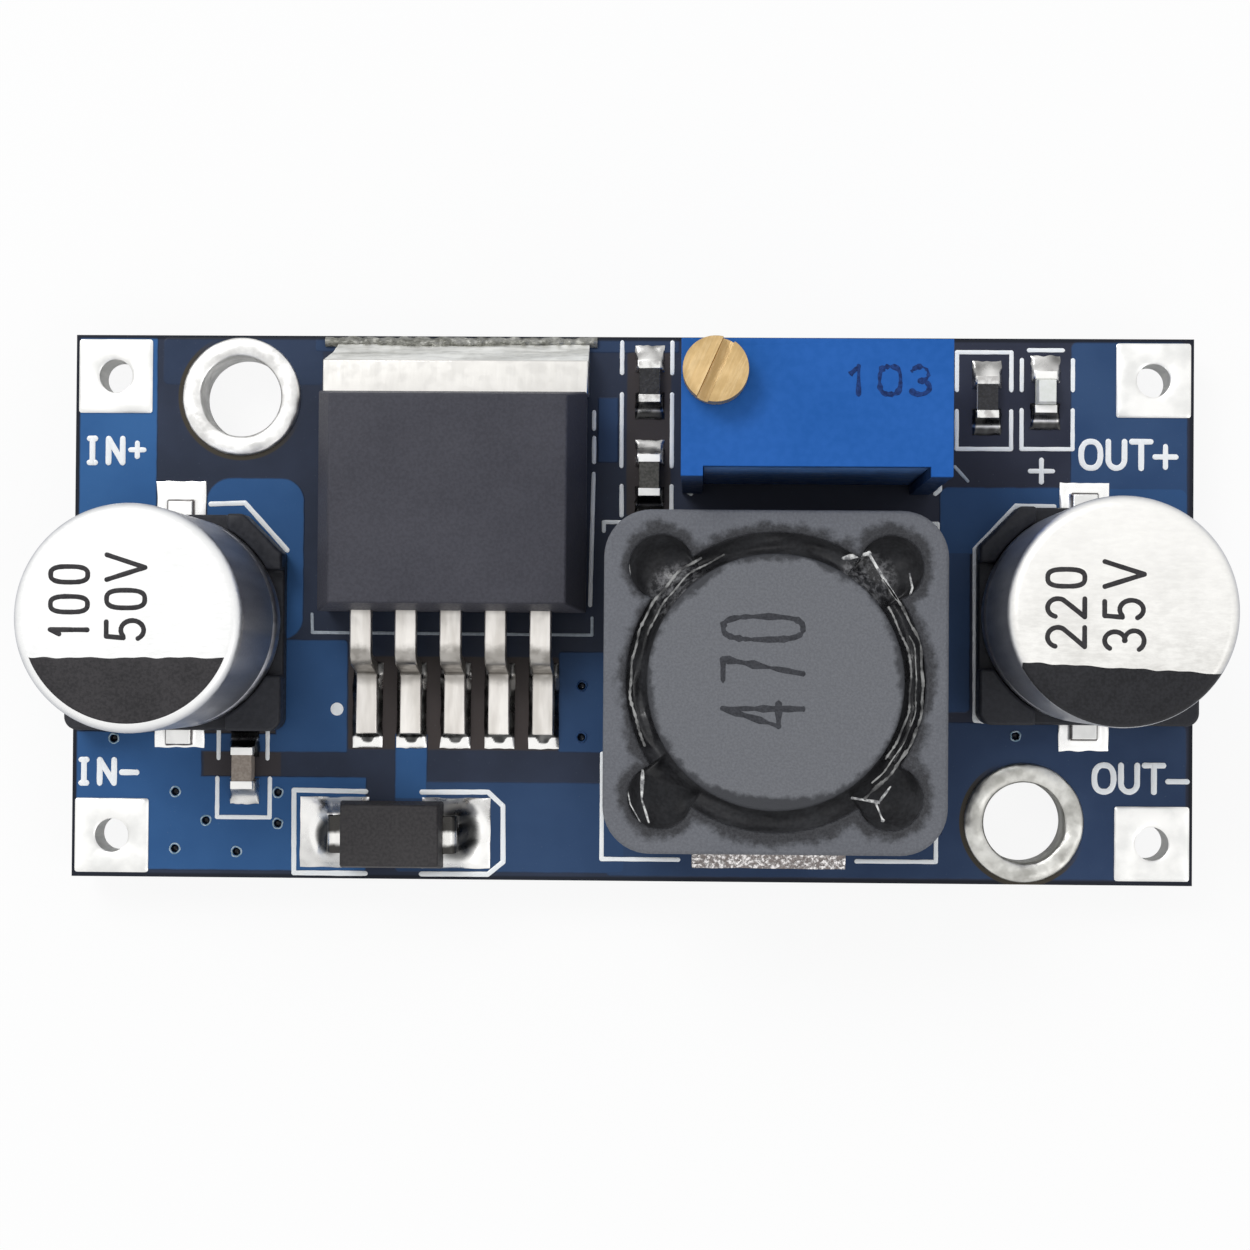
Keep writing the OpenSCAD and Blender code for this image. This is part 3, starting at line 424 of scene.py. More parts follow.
COMPOUND = ground("mould_compound", (0.048, 0.048, 0.060), (0.074, 0.074, 0.090), 0.11,
                  (0.5, 0.66), 0.004, 0.18)
DIODE_COMPOUND = ground("dark_compound", (0.026, 0.024, 0.026), (0.052, 0.049, 0.050), 0.12,
                        (0.45, 0.6), 0.005, 0.22)
BASE_PLASTIC = ground("base_plastic", (0.018, 0.019, 0.024), (0.034, 0.035, 0.042), 0.2,
                      (0.4, 0.55), 0.004, 0.25)
DARK_RESIN = ground("dark_resin", (0.070, 0.160, 0.38), (0.095, 0.200, 0.46), 0.5,
                    (0.3, 0.5), 0.003, 0.25)
RUBBER = ground("black_rubber", (0.010, 0.010, 0.010), (0.024, 0.024, 0.024), 0.1,
                (0.5, 0.7), 0.003)
WHITE_PLASTIC = ground("white_plastic", (0.72, 0.71, 0.66), (0.82, 0.81, 0.77), 0.2,
                       (0.4, 0.5), 0.003)
ALUMINA = ground("bare_alumina", (0.70, 0.69, 0.66), (0.82, 0.81, 0.78), 0.06,
                 (0.5, 0.65), 0.003)
GLASS_COAT = ground("glass_coat", (0.012, 0.012, 0.014), (0.034, 0.034, 0.038), 0.12,
                    (0.14, 0.35), 0.006, 0.35, 0.5)
LAMP_BASE = ground("lamp_base", (0.66, 0.66, 0.55), (0.84, 0.85, 0.76), 0.2, (0.4, 0.5),
                   0.004)
LAMP_LENS = ground("lamp_lens", (0.84, 0.86, 0.79), (0.95, 0.955, 0.92), 0.25, (0.1, 0.25),
                   0.003, 0.5, 0.6)
ENAMEL = ground("enamelled_wire", (0.30, 0.10, 0.030), (0.46, 0.18, 0.055), 0.5,
                (0.15, 0.3), 0.002, 0.5)
WHITE_INK = ground("white_ink", (0.92, 0.96, 0.99), (0.99, 1.0, 1.0), 0.2, (0.30, 0.42),
                   0.002, 1.0, 0.8)
PALE_INK = ground("pale_ink", (0.38, 0.43, 0.49), (0.56, 0.62, 0.68), 0.15, (0.45, 0.6),
                  0.002, 0.2, 0.8)
BLACK_INK = ground("black_ink", (0.016, 0.015, 0.017), (0.042, 0.039, 0.042), 0.10,
                   (0.38, 0.55), 0.004, 0.25, 1.0)
DEEP_INK = ground("deep_ink", (0.010, 0.010, 0.012), (0.026, 0.026, 0.030), 0.10,
                  (0.38, 0.55), 0.004, 0.2, 1.0)
GREY_INK = ground("grey_ink", (0.028, 0.029, 0.034), (0.066, 0.068, 0.078), 0.08,
                  (0.55, 0.7), 0.002, 0.15, 0.4)
NAVY_INK = ground("navy_ink", (0.008, 0.020, 0.085), (0.020, 0.060, 0.230), 0.12,
                  (0.5, 0.6), 0.002, 0.1, 0.3)
PLUG_LACQUER = ground("plug_lacquer", (0.004, 0.008, 0.018), (0.010, 0.018, 0.036), 0.1,
                      (0.2, 0.4), 0.004)
print("plain grounds made:", len(bpy.data.materials))

# %% [markdown]
# ## The board's lacquer
# A lacquered board is not one blue. Where copper lies under the lacquer it is lighter and
# stands up a little; between the copper areas the dark laminate shows through. The areas
# are drawn as rounded rectangles. For one rectangle the distance to its edge is worked out
# from the distance along each axis, and the greatest of all the rectangles' shares is the
# copper. The board's cut sides show bare laminate, told apart by their height alone.

# %% Rounded rectangles in a finish
def rectangle(x, y, left, front, right, back, corner):
    """Distance in mm to a rounded rectangle, less than 0 inside it: the length of the part
    of (dx, dy) outside the inner rectangle, less the corner's radius."""
    dx = abs(x - (left + right) / 2) - ((right - left) / 2 - corner)
    dy = abs(y - (front + back) / 2) - ((back - front) / 2 - corner)
    return dx.most(0.0).hypot(dy.most(0.0)) + dx.most(dy).least(0.0) - corner


def copper(x, y, areas):
    """Share of copper, from 0 to its given level, over all the rectangles."""
    total = None
    for left, front, right, back, corner, level in areas:
        share = rectangle(x, y, left, front, right, back, corner).ramp(0.05, -0.05) * level
        total = share if total is None else total.most(share)
    return total


print("helpers:", rectangle.__name__, copper.__name__)

# %% Where the copper lies: left, front, right, back, corner radius, level of blue
TOP_COPPER = [
    (-21.45, -1.0, -18.45, 10.4, 0.05, 1.0), (-16.45, -1.3, -12.70, 4.95, 0.9, 0.80),
    (-13.70, -5.30, -10.95, -1.30, 0.15, 0.62), (-21.45, -10.2, -16.6, -4.9, 0.05, 0.80),
    (-16.80, -10.2, -10.20, -6.60, 0.05, 0.80), (-16.8, -5.62, -10.95, -4.95, 0.05, 0.62),
    (-9.05, -7.4, -7.85, -4.9, 0.05, 0.80), (-9.05, -10.2, -0.2, -6.75, 0.2, 0.34),
    (-2.75, -5.55, -0.3, -1.70, 0.1, 0.42), (-1.3, 5.66, -0.55, 8.14, 0.05, 0.30),
    (-18.2, 8.6, -12.0, 10.4, 0.2, 0.10), (16.9, 3.4, 21.35, 10.4, 0.3, 0.44),
    (11.9, 2.2, 21.35, 4.75, 0.3, 0.62), (11.9, -3.9, 13.05, 3.2, 0.2, 0.40),
    (12.0, -10.3, 21.35, -4.3, 0.3, 0.26),
    (-0.9, -10.3, 12.4, -8.6, 0.2, 0.26), (-12.3, 9.9, 1.8, 10.4, 0.1, 0.20),
]
UNDER_COPPER = [
    (-21.3, -10.2, -11.5, 6.3, 0.3, 0.8), (-10.9, -10.2, 12.2, 1.9, 0.3, 0.7),
    (-10.9, 2.6, 2.6, 10.2, 0.3, 0.8), (12.9, -5.4, 21.3, 10.2, 0.3, 0.8),
    (3.2, 2.5, 12.3, 3.5, 0.1, 0.5), (13.4, -10.2, 21.3, -6.0, 0.3, 0.7),
]
# rectangles where even the lacquer looks brown: bare laminate between close lands
BARE = [(-10.9, -5.5, -2.75, -1.9, 0.1, 0.9), (-16.5, -8.0, -13.5, -4.7, 0.1, 0.7),
        (-0.2, 3.6, 1.5, 10.4, 0.1, 0.8)]
print("areas:", len(TOP_COPPER), "above,", len(UNDER_COPPER), "below,", len(BARE), "bare")


# %% The lacquer
def lacquered_board():
    """Blue lacquer on both faces, bare laminate on the cut sides."""
    f = Finish("blue_lacquer", Specular_IOR_Level=0.12)
    x, y, z = f.axes()
    waver = f.noise(0.5, 2.0) * 0.05 - 0.025
    wx, wy = x + waver, y - waver
    upper = z.ramp(BOARD_MIDDLE - 0.01, BOARD_MIDDLE + 0.01)
    share = copper(wx, wy, TOP_COPPER) * upper + copper(wx, wy, UNDER_COPPER) * (1 - upper)
    bare = copper(wx, wy, BARE) * upper * (1 - share.ramp(0.0, 0.3))
    clouds = f.noise(3.0, 3.0, shift=4.0).ramp()
    dust = f.noise(0.09, 1.0, shift=9.0).ramp(0.72, 0.80)
    left = f.tint(clouds, (0.028, 0.036, 0.060), (0.036, 0.047, 0.080))
    right = f.tint(clouds, (0.028, 0.032, 0.054), (0.040, 0.046, 0.072))
    dark = f.tint(x.ramp(1.0, 3.0), left, right)
    dark = f.tint(bare, dark, (0.062, 0.050, 0.045))
    blue = f.tint(clouds, (0.033, 0.120, 0.315), (0.041, 0.140, 0.352))
    colour = f.tint(share, dark, blue)
    colour = f.tint(dust * 0.10, colour, (0.30, 0.36, 0.42))
    # lacquer stops short of the cut: a dark line round the board
    edge = rectangle(x, y, *board_low[:2], *board_high[:2], 0.02).ramp(-0.20, -0.10)
    colour = f.tint(edge * 0.85, colour, (0.012, 0.014, 0.020))
    # the lacquer stands back from the two large rings and shows brown laminate
    for low, high in islands("mounting_rings"):
        cx, cy, r = disc(low, high)
        away = (x - cx).hypot(y - cy) - (r + 0.06)
        low_left = (cx - x + cy - y).ramp(-1.6, 1.6)
        colour = f.tint(abs(away).ramp(0.12, 0.08) * low_left, colour, (0.060, 0.052, 0.040))
    cut = z.ramp(BOARD_TOP - 0.03, BOARD_TOP - 0.01) + z.ramp(BOARD_UNDER + 0.03,
                                                              BOARD_UNDER + 0.01)
    glass = f.noise(0.16, 2.0, (4, 4, 0.5), 3.0).ramp(0.35, 0.65)
    laminate = f.tint(glass, (0.030, 0.028, 0.022), (0.075, 0.070, 0.052))
    return f.wear(f.tint(cut, laminate, colour),
                  (0.62 - cut * 0.30) + dust * 0.2 + clouds * 0.06,
                  share.ramp(0.0, 0.25) * 0.8 + f.noise(0.8, 2.0, shift=6.0) * 0.5, 0.03)


keep("circuit_board", lacquered_board())
print("nodes in the lacquer:", len(bpy.data.materials["blue_lacquer"].node_tree.nodes))

# %% [markdown]
# ## Pads, rings and vias
# The four wire pads and the two screw rings are copper with a coat of hot tin that has
# drawn itself into a low cushion, and the tin runs down the wall of the hole. A cushion is
# a ring of cross-sections: down the hole's wall, over the top in a low arc, and along the
# other face back again. Carried round the hole it closes on itself, so it needs no lids.

# %% Cushions of tin round holes
def outline(half, steps, power=None):
    """Points round a circle of radius `half`, or round a square of that half side with
    rounded corners: the circle pushed outwards by 1 / (|cos|^n + |sin|^n)^(1/n)."""
    turn = np.linspace(0, 2 * np.pi, steps, endpoint=False) + np.pi / steps
    way = np.stack([np.cos(turn), np.sin(turn)], -1)
    if power is None:
        return way * half
    push = (np.abs(way) ** power).sum(-1, keepdims=True) ** (-1 / power)
    return way * push * half


def cushion(low, high, hole, power, seed, swell):
    """Tin round a hole through the board: the share t goes from the hole's edge (0) to the
    land's edge (1); its height is swell * sin(pi * t)^0.4 above the land, on both faces."""
    x, y, half = disc(low, high)
    steps = 160
    outer, inner = outline(half, steps, power), outline(hole - 0.006, steps)
    t = np.linspace(0, 1, 17)
    rise = swell * np.clip(np.sin(np.pi * t), 0, 1) ** 0.4
    rings = []
    for share, lift in [*zip(t, rise), (1.0, -0.045)]:
        flat = inner * (1 - share) + outer * share
        uneven = 1 + 0.15 * ripple(flat[:, 0], flat[:, 1], 1.6, seed)
        rings.append(np.column_stack([flat, np.full(steps, BOARD_TOP + 0.045) + lift * uneven]))
    upper = np.array(rings)
    lower = upper[::-1].copy()
    lower[..., 2] = BOARD_TOP + BOARD_UNDER - lower[..., 2]
    both = np.concatenate([upper, lower])
    both[..., :2] += (x, y)
    return loft(both, around=True)


def upper_ones(node):
    """Boxes of a node's solids that lie on the component side."""
    return [b for b in islands(node) if b[1][2] > BOARD_MIDDLE]


wire_r = frame["record"]["mounts"][0]["dims"]["r_mm"]
screw_r = frame["record"]["mounts"][-1]["dims"]["r_mm"]
pads = [cushion(lo, hi, wire_r, 40, 20 + k, 0.07)
        for k, (lo, hi) in enumerate(upper_ones("wire_pads"))]
piece("wire_pad_tin", pads, TIN, instead=["wire_pads"])


# %% Tin on the screw rings
def ring_tin():
    """Hot tin: bright on the input's ring, grey with bright patches on the output's."""
    f = Finish("ring_tin", Metallic=1.0)
    cloud = f.noise(1.0, 3.0).ramp(0.34, 0.64)
    fine = f.noise(0.35, 3.0, shift=6.0)
    shade = cloud * 0.7 + fine.ramp(0.35, 0.65) * 0.3
    left = f.tint(shade, (0.66, 0.655, 0.64), (0.94, 0.935, 0.92))
    right = f.tint(shade, (0.36, 0.355, 0.330), (0.72, 0.715, 0.68))
    return f.wear(f.tint(f.axes()[0].ramp(-1, 1), left, right),
                  fine.ramp(0.3, 0.7, 0.28, 0.42),
                  fine, 0.012)


rings = [cushion(lo, hi, screw_r, None, 40 + k, 0.16)
         for k, (lo, hi) in enumerate(upper_ones("mounting_rings"))]
piece("mounting_ring_tin", rings, ring_tin(), instead=["mounting_rings"])


# %% Vias with lacquer in their throats
def via_finish():
    """Copper under thin lacquer: a pale ring, but plain blue beside the coil."""
    f = Finish("lacquered_via", Specular_IOR_Level=0.3)
    x = f.axes()[0]
    fine = f.noise(0.15, 2.0).ramp(0.35, 0.65)
    plain = x.ramp(-2.6, -2.4) * x.ramp(0.1, -0.1)
    pale = f.tint(fine, (0.22, 0.36, 0.46), (0.58, 0.70, 0.78))
    return f.wear(f.tint(plain, pale, (0.030, 0.075, 0.19)),
                  fine.ramp(0, 1, 0.25, 0.4),
                  fine, 0.01)


VIA_HOLE = 0.155
via_rims, plugs = [], []
for low, high in islands("via_rings"):
    x, y, r = disc(low, high)
    up = 1 if low[2] > BOARD_UNDER else -1
    z = BOARD_TOP if up > 0 else BOARD_UNDER
    rim = np.array([[VIA_HOLE, z - up * 0.02], [VIA_HOLE + 0.015, z + up * 0.03],
                    [(VIA_HOLE + r) / 2 - 0.04, z + up * 0.045], [r - 0.09, z + up * 0.03],
                    [r - 0.07, z - up * 0.02]])
    via_rims.append(loft(turned(rim, x, y, 40, 0.018, int(abs(x) * 10)), around=True))
    dish = np.array([[0, z - up * 0.30], [VIA_HOLE * 0.6, z - up * 0.26],
                     [VIA_HOLE + 0.004, z - up * 0.10], [VIA_HOLE + 0.004, z - up * 0.5],
                     [0, z - up * 0.5]])
    plugs.append(loft(turned(dish, x, y, 24)))
piece("via_rims", via_rims, via_finish(), instead=["via_rings"])
piece("via_plugs", plugs, PLUG_LACQUER)
print("vias:", len(plugs) // 2)

# %% [markdown]
# ## Tinned lands and the solder that climbs from them
# Under every surface-mounted part lies a tinned land, and from it solder climbs the part's
# terminal in a hollow slope. One height over the land's rectangle does both: a low cushion
# that falls off at the edges, plus a climb that is highest against the terminal and fades
# with the distance from it. The terminal's box comes from the CAD, so each slope starts
# where its terminal stands.

# %% One pool of solder per land
def pool(land, feet, climb, reach, seed, swell=0.045, ragged=0.02, painted_shine_of=None):
    """Solder on a land. Its height is swell * sqrt((1 - u^8) * (1 - v^8)), with u, v from
    -1 to 1 across the land, and climb * exp(-(d / reach)^1.5), with d the distance to the
    nearest foot. The painted shine of a point, its painted reflection and highlight, comes
    from the given function of (x, y, d), and is 1 without it."""
    (x0, y0, _), (x1, y1, top) = land
    nu, nv = (int(np.clip((b - a) / 0.05, 12, 110)) for a, b in ((x0, x1), (y0, y1)))
    u, v = np.meshgrid(np.linspace(-1, 1, nu), np.linspace(-1, 1, nv), indexing="ij")
    x, y = (x0 + x1) / 2 + u * (x1 - x0) / 2, (y0 + y1) / 2 + v * (y1 - y0) / 2
    edge = (1 - u ** 8) * (1 - v ** 8)
    height = swell * edge ** 0.5 * (1 + 0.3 * ripple(x, y, 1.1, seed))
    away = np.full_like(x, 9.0)
    for low, high in feet:
        dx = np.maximum(np.maximum(low[0] - x, x - high[0]), 0)
        dy = np.maximum(np.maximum(low[1] - y, y - high[1]), 0)
        away = np.minimum(away, np.hypot(dx, dy))
    slope = climb * np.exp(-(away / reach) ** 1.5) * (1 + 0.12 * ripple(x, y, 0.9, seed + 1))
    height = height + slope * np.clip(edge * 1.3, 0, 1)
    # painted light: each point's painted reflection, highlight or shade
    shine = np.clip(painted_shine_of(x, y, away), 0, 1) if painted_shine_of else np.ones_like(x)
    x = x + ragged * ripple(v, u, 0.8, seed + 2) * np.abs(u) ** 9
    y = y + ragged * ripple(u, v, 0.8, seed + 3) * np.abs(v) ** 9
    both = slab(x, y, top - 0.012 + height, BOARD_TOP - 0.01)
    return (*both, np.concatenate([shine, shine[:, ::-1]], axis=1).ravel())


def blot(x, y, cx, cy, rx, ry):
    """A soft round patch: exp(-((x - cx) / rx)^4 - ((y - cy) / ry)^4)."""
    return np.exp(-((x - cx) / rx) ** 4 - ((y - cy) / ry) ** 4)


STAND_GAP = 0.25  # a box that starts higher than this over the board stands on nothing


def touching(land, boxes):
    """The boxes that stand on a land, seen from above."""
    (a0, b0, _), (a1, b1, _) = land
    return [b for b in boxes if b[0][0] < a1 and b[1][0] > a0 and b[0][1] < b1 and b[1][1] > b0
            and b[0][2] < BOARD_TOP + STAND_GAP]


print("a patch fades from", blot(0, 0, 0, 0, 1, 1), "to", round(blot(1, 1, 0, 0, 1, 1), 3))


# %% The feet that stand on the lands
def foot_only(box, length):
    """The part of a lead's box that lies on its land, at the front."""
    low, high = box[0].copy(), box[1].copy()
    high[1] = low[1] + length
    return low, high


lead_boxes = islands("regulator_leads")
foot_w = lead_boxes[0][1][0] - lead_boxes[0][0][0]
mid = (lead_boxes[0][0][0] + lead_boxes[-1][1][0]) / 2
centre_lead = (np.array([mid - foot_w / 2, lead_boxes[0][0][1], lead_boxes[0][0][2]]),
               np.array([mid + foot_w / 2, lead_boxes[0][1][1], lead_boxes[0][1][2]]))
BEHIND_FOOT = 3.75  # length of a lead's bends and of its part at the body
feet = [foot_only(b, lead_boxes[0][1][1] - lead_boxes[0][0][1] - BEHIND_FOOT)
        for b in [*lead_boxes, centre_lead]]
chip_feet = islands("resistor_ends") + islands("ceramic_ends") + islands("led_ends")
can_feet = islands("input_capacitor_leads") + islands("output_capacitor_leads")
tab_box = span("regulator_tab")
print("feet of leads, chips and cans:", len(feet), len(chip_feet), len(can_feet))


# %% How the painted shine runs over each kind of pool: painted reflections, highlights and shade
def lead_painted_shine(foot):
    """Painted light on a lead's land: a painted highlight beyond the toe, a painted glint
    beside the heel and painted shade along the foot.
    """
    (x0, y0, _), (x1, y1, _) = foot
    notch = lambda x: 0.24 * np.exp(-((x - (x0 + x1) / 2) / 0.25) ** 4)
    return lambda x, y, d: (np.clip((y0 - 0.09 - notch(x) - y) / 0.05, 0, 1)
                            + 2.2 * blot(x, y, x1 + 0.12, y1 - 0.10, 0.06, 0.26)
                            + 0.20 + 0.08 * ripple(x, y, 0.5, 6))


def chip_painted_shine(side, seed):
    """One end's land is flat and pale; the other's is a painted dark reflection with a thin
    painted highlight.
    """
    if side:
        return lambda x, y, d: 0.52 + 0.14 * ripple(x, y, 1.1, seed)
    return lambda x, y, d: (0.12 + 0.05 * ripple(x, y, 0.5, seed)
                            + 0.6 * np.exp(-((d - 0.30) / 0.05) ** 2))


def diode_painted_shine(side, x_end, y_mid):
    """Pale tin with a round painted dark reflection against the body and a painted highlight,
    a bright crescent, round it.
    """
    cx, cy, r = x_end + side * 0.45, y_mid - 0.05, 0.85 if side > 0 else 0.62
    far = lambda x, y: np.hypot(x - cx, (y - cy) * 0.85) / r
    return lambda x, y, d: (0.70 + 0.16 * np.clip((y_mid - y) * side, -0.6, 0.6)
                            - 0.64 * np.exp(-far(x, y) ** 6)
                            + 0.4 * np.exp(-((far(x, y) - 1.22) / 0.16) ** 2)
                            * np.clip(side * (x - cx) / r, 0, 1))


def painted_shine_solder(name, dark, pale):
    """Solder whose colour follows the painted shine of its points: painted reflections and
    highlights.
    """
    f = Finish(name, Metallic=1.0)
    # painted reflections and highlights, read from each point's painted shine
    shine = f.node("Attribute", {"attribute_name": "shine"}, output="Fac")
    fine = f.noise(0.4, 3.0)
    return f.wear(f.tint((shine + fine * 0.2 - 0.10).ramp(0.1, 0.9), dark, pale),
                  fine.ramp(0.3, 0.7, 0.24, 0.36),
                  fine, 0.006)


beyond = feet[0][0] - (0, 0.4, 0)
print("shine beyond a lead's toe:", round(float(lead_painted_shine(feet[0])(*beyond)), 2))

# %% A pool on every land
diode_low, diode_high = span("diode_body")
STANDING = {"lead": feet, "chip": chip_feet, "can": can_feet,
            "diode": islands("diode_terminals"), "coil": islands("inductor_terminals")}
bright, plain, coil_pools = [], [], []
for k, land in enumerate(lands):
    if land[1][0] - land[0][0] > 8:
        continue  # the tab's land has a slope of its own
    kind, boxes = next((n, touching(land, b)) for n, b in STANDING.items() if touching(land, b))
    y_mid = (land[0][1] + land[1][1]) / 2
    if kind == "lead":
        bright.append(pool(land, boxes, 0.14, 0.10, k, 0.05, painted_shine_of=lead_painted_shine(boxes[0])))
    elif kind == "chip":
        tall = max(b[1][2] - b[0][2] for b in boxes)
        pale = (y_mid > (boxes[0][0][1] + boxes[0][1][1]) / 2) != (land[0][1] < -4)
        bright.append(pool(land, boxes, 0.6 * tall, 0.24, k, painted_shine_of=chip_painted_shine(pale, k)))
    elif kind == "diode":
        side = 1 if land[1][0] > diode_high[0] else -1
        x_end = diode_high[0] if side > 0 else diode_low[0]
        bright.append(pool(land, boxes, 0.75, 0.40, k, painted_shine_of=diode_painted_shine(side, x_end, y_mid),
                           ragged=0.01))
    elif kind == "can":
        # painted shadow: the tin is dark right round each can lead
        plain.append(pool(land, boxes, 0.10, 0.10, k,
                          painted_shine_of=lambda x, y, d: 1 - 0.9 * np.exp(-(d / 0.07) ** 4)))
    else:
        coil_pools.append(pool(land, boxes, 0.28, 0.25, k, 0.05))
piece("solder_pools", bright, painted_shine_solder("pooled_solder", (0.05, 0.05, 0.05), (0.93, 0.92, 0.90)),
      instead=["solder_fillets"])
piece("capacitor_land_tin", plain, painted_shine_solder("land_tin", (0.06, 0.05, 0.05), (0.96, 0.955, 0.94)))
print("pools:", len(bright), "tin lands:", len(plain), "coil lands:", len(coil_pools))


# %% The coil's lands are rough, and the tab's solder is a long dull slope
def speckled_tin():
    """Hot tin that set in a coarse crust: bright grains on grey."""
    f = Finish("crusted_tin", Metallic=1.0)
    grains = f.noise(0.16, 3.0, rough=0.7).ramp(0.42, 0.60)
    return f.wear(f.tint(grains, (0.26, 0.23, 0.22), (0.84, 0.81, 0.80)),
                  grains.ramp(0, 1, 0.55, 0.25),
                  grains, 0.03)


piece("inductor_land_tin", coil_pools, speckled_tin(), instead=["component_lands"])


SLOPE_END = 10.16  # where the tab's solder stops, in front of the board's back edge


def tab_slope():
    """Solder from the tab's end down to its land: a ruled slope whose height falls as
    (1 - t)^1.1, drawn in at both sides towards the land's edge."""
    x0, x1, y0, y1 = tab_box[0][0], tab_box[1][0], tab_box[1][1], SLOPE_END
    top, low = BOARD_TOP + 0.05 + 1.24, BOARD_TOP + 0.20
    s, t = grid(90, 14)
    pull = 0.45 * t ** 0.7 * (1 - s * 1.5).clip(0, 1) ** 2
    x = x0 + (x1 - x0) * s + pull
    y = y0 - 0.01 + (y1 - y0) * t + 0.04 * ripple(s, t, 0.4, 61) * t
    z = low + (top - low) * (1 - t) ** 1.1 + 0.015 * ripple(x, y, 1.1, 62)
    return slab(x, y, np.minimum(z, top - 0.01), BOARD_TOP)


def crust():
    """The ragged dull rim of that solder, along the board's back edge."""
    x0, x1, y0, y1 = tab_box[0][0] - 0.08, tab_box[1][0] + 0.30, SLOPE_END - 0.08, 10.46
    s, t = grid(150, 9)
    x = x0 + (x1 - x0) * s
    y = y0 + (y1 - y0) * t + 0.05 * ripple(s, t, 0.06, 63) * (t > 0.5)
    y = np.minimum(y, board_high[1] - 0.005)
    z = BOARD_TOP + 0.22 * np.sin(np.pi * (0.15 + 0.8 * t)) + 0.05 * ripple(x, y, 0.5, 64)
    return slab(x, y, z, BOARD_TOP - 0.01)


piece("tab_solder", [tab_slope()], SLOPE)
piece("tab_crust", [crust()], CRUST)

# %% [markdown]
# ## The can capacitors
# A can is drawn from aluminium sheet: a flat top, a small radius, a straight wall, a crimped
# groove and a curled foot on a black moulded base. Turning a profile about the axis gives
# it. The metal is coated, so it is satin with a faint cloud. The top carries a black
# segment that marks the minus lead, and two lines of numbers.

# %% Aluminium with a coated top
can_top = span("input_capacitor_can")[1][2]


def can_finish():
    """Satin metal: a pale cloudy coat on the top, with painted shade making the output can's
    top darker towards the front, and drawing lines down the wall.
    """
    f = Finish("coated_aluminium")
    x, y, z = f.axes()
    top = z.ramp(can_top - 0.35, can_top)
    lines = f.noise(0.5, 3.0, (1, 1, 12)).ramp()
    cloud = f.noise(1.6, 5.0, (1, 1, 1), 8.0, 0.6).ramp(0.32, 0.68)
    fine = f.noise(0.12, 3.0, (3, 1, 1), 1.0, 0.7).ramp()
    wall = f.tint(lines, (0.40, 0.41, 0.45), (0.50, 0.51, 0.55))
    # painted shade: the output can's top goes darker towards the front
    grey = f.tint(y.ramp(-3.5, 3.5), (0.70, 0.685, 0.65), (0.93, 0.915, 0.885))
    shaded_warm_top = f.tint(cloud * 0.6 + fine * 0.4, grey, (0.97, 0.955, 0.92))
    white = f.tint(cloud * 0.75 + fine * 0.25, (0.92, 0.92, 0.91), (0.97, 0.965, 0.955))
    cap = f.tint(x.ramp(-1.0, 1.0), white, shaded_warm_top)
    f.put("Metallic", 1 - top * 0.55)
    return f.wear(f.tint(top, wall, cap), fine.ramp(0, 1, 0.30, 0.42),
                  fine * 0.4 + cloud * 0.6, 0.005)


CAN = can_finish()
CAN_EDGE = 0.42  # radius of a can's upper edge


def can_profile(radius, low, high):
    """Half section of a can, from the middle of its foot to the middle of its top."""
    groove, depth, edge = low + 1.75, 0.42, CAN_EDGE
    dip = np.linspace(-1, 1, 15)
    waist = np.stack([radius - depth * np.cos(dip * np.pi / 2) ** 1.6,
                      groove + dip * 0.55], -1)
    return np.concatenate([[[0, low], [radius - 0.5, low]],
                           arc(radius - 0.5, low + 0.5, 0.5, -90, 0, 8)[1:], waist,
                           [[radius, groove + 1.0], [radius, high - edge - 0.8]],
                           arc(radius - edge, high - edge, edge, 0, 90, 12),
                           [[radius - edge - 0.5, high], [0, high]]])


for side in ("input", "output"):
    low, high = span(side + "_capacitor_can")
    x, y, radius = disc(low, high)
    shape = loft(turned(can_profile(radius, low[2], high[2]), x, y, 192))
    piece(side + "_can", [shape], CAN, instead=[side + "_capacitor_can"], crease=60)
    soften(side + "_capacitor_base", BASE_PLASTIC, 0.10)
    soften(side + "_capacitor_leads", TIN, 0.04)

# %% [markdown]
# ## Ink
# A printed stroke is a raised ribbon with round ends: a low hill of six corners carried
# along a path and turned square to it. Its half width near an end is
# r * sqrt(1 - (1 - s / r)^2), with s the way from the end, which draws the round end. A path
# with sharp corners is cut there into strokes that overlap, each a hair higher than the
# last. Digits and letters are a few such paths in a unit box, so no font file is needed.

# %% Strokes
layer = itertools.count()


def stroke(path, width, z, height=0.03, shake=0.0, seed=0):
    """Raised ribbons along `path`, an array of (points, 2) in mm: one for a closed path,
    and otherwise one for each part between two corners sharper than 35 degrees."""
    path = np.asarray(path, float)
    path = path[np.append(True, np.hypot(*np.diff(path, axis=0).T) > 1e-6)]
    way = np.diff(path, axis=0)
    bend = np.diff(np.arctan2(way[:, 1], way[:, 0]))
    sharp = np.abs(np.angle(np.exp(1j * bend))) > math.radians(35)
    if np.allclose(path[0], path[-1]):
        return [ribbon(path[:-1], width, z, height, True, shake, seed)]
    cuts = [0, *(np.flatnonzero(sharp) + 1).tolist(), len(path) - 1]
    return [ribbon(path[a:b + 1], width, z, height + 0.0007 * (next(layer) % 12), False,
                   shake, seed + a) for a, b in zip(cuts, cuts[1:])]


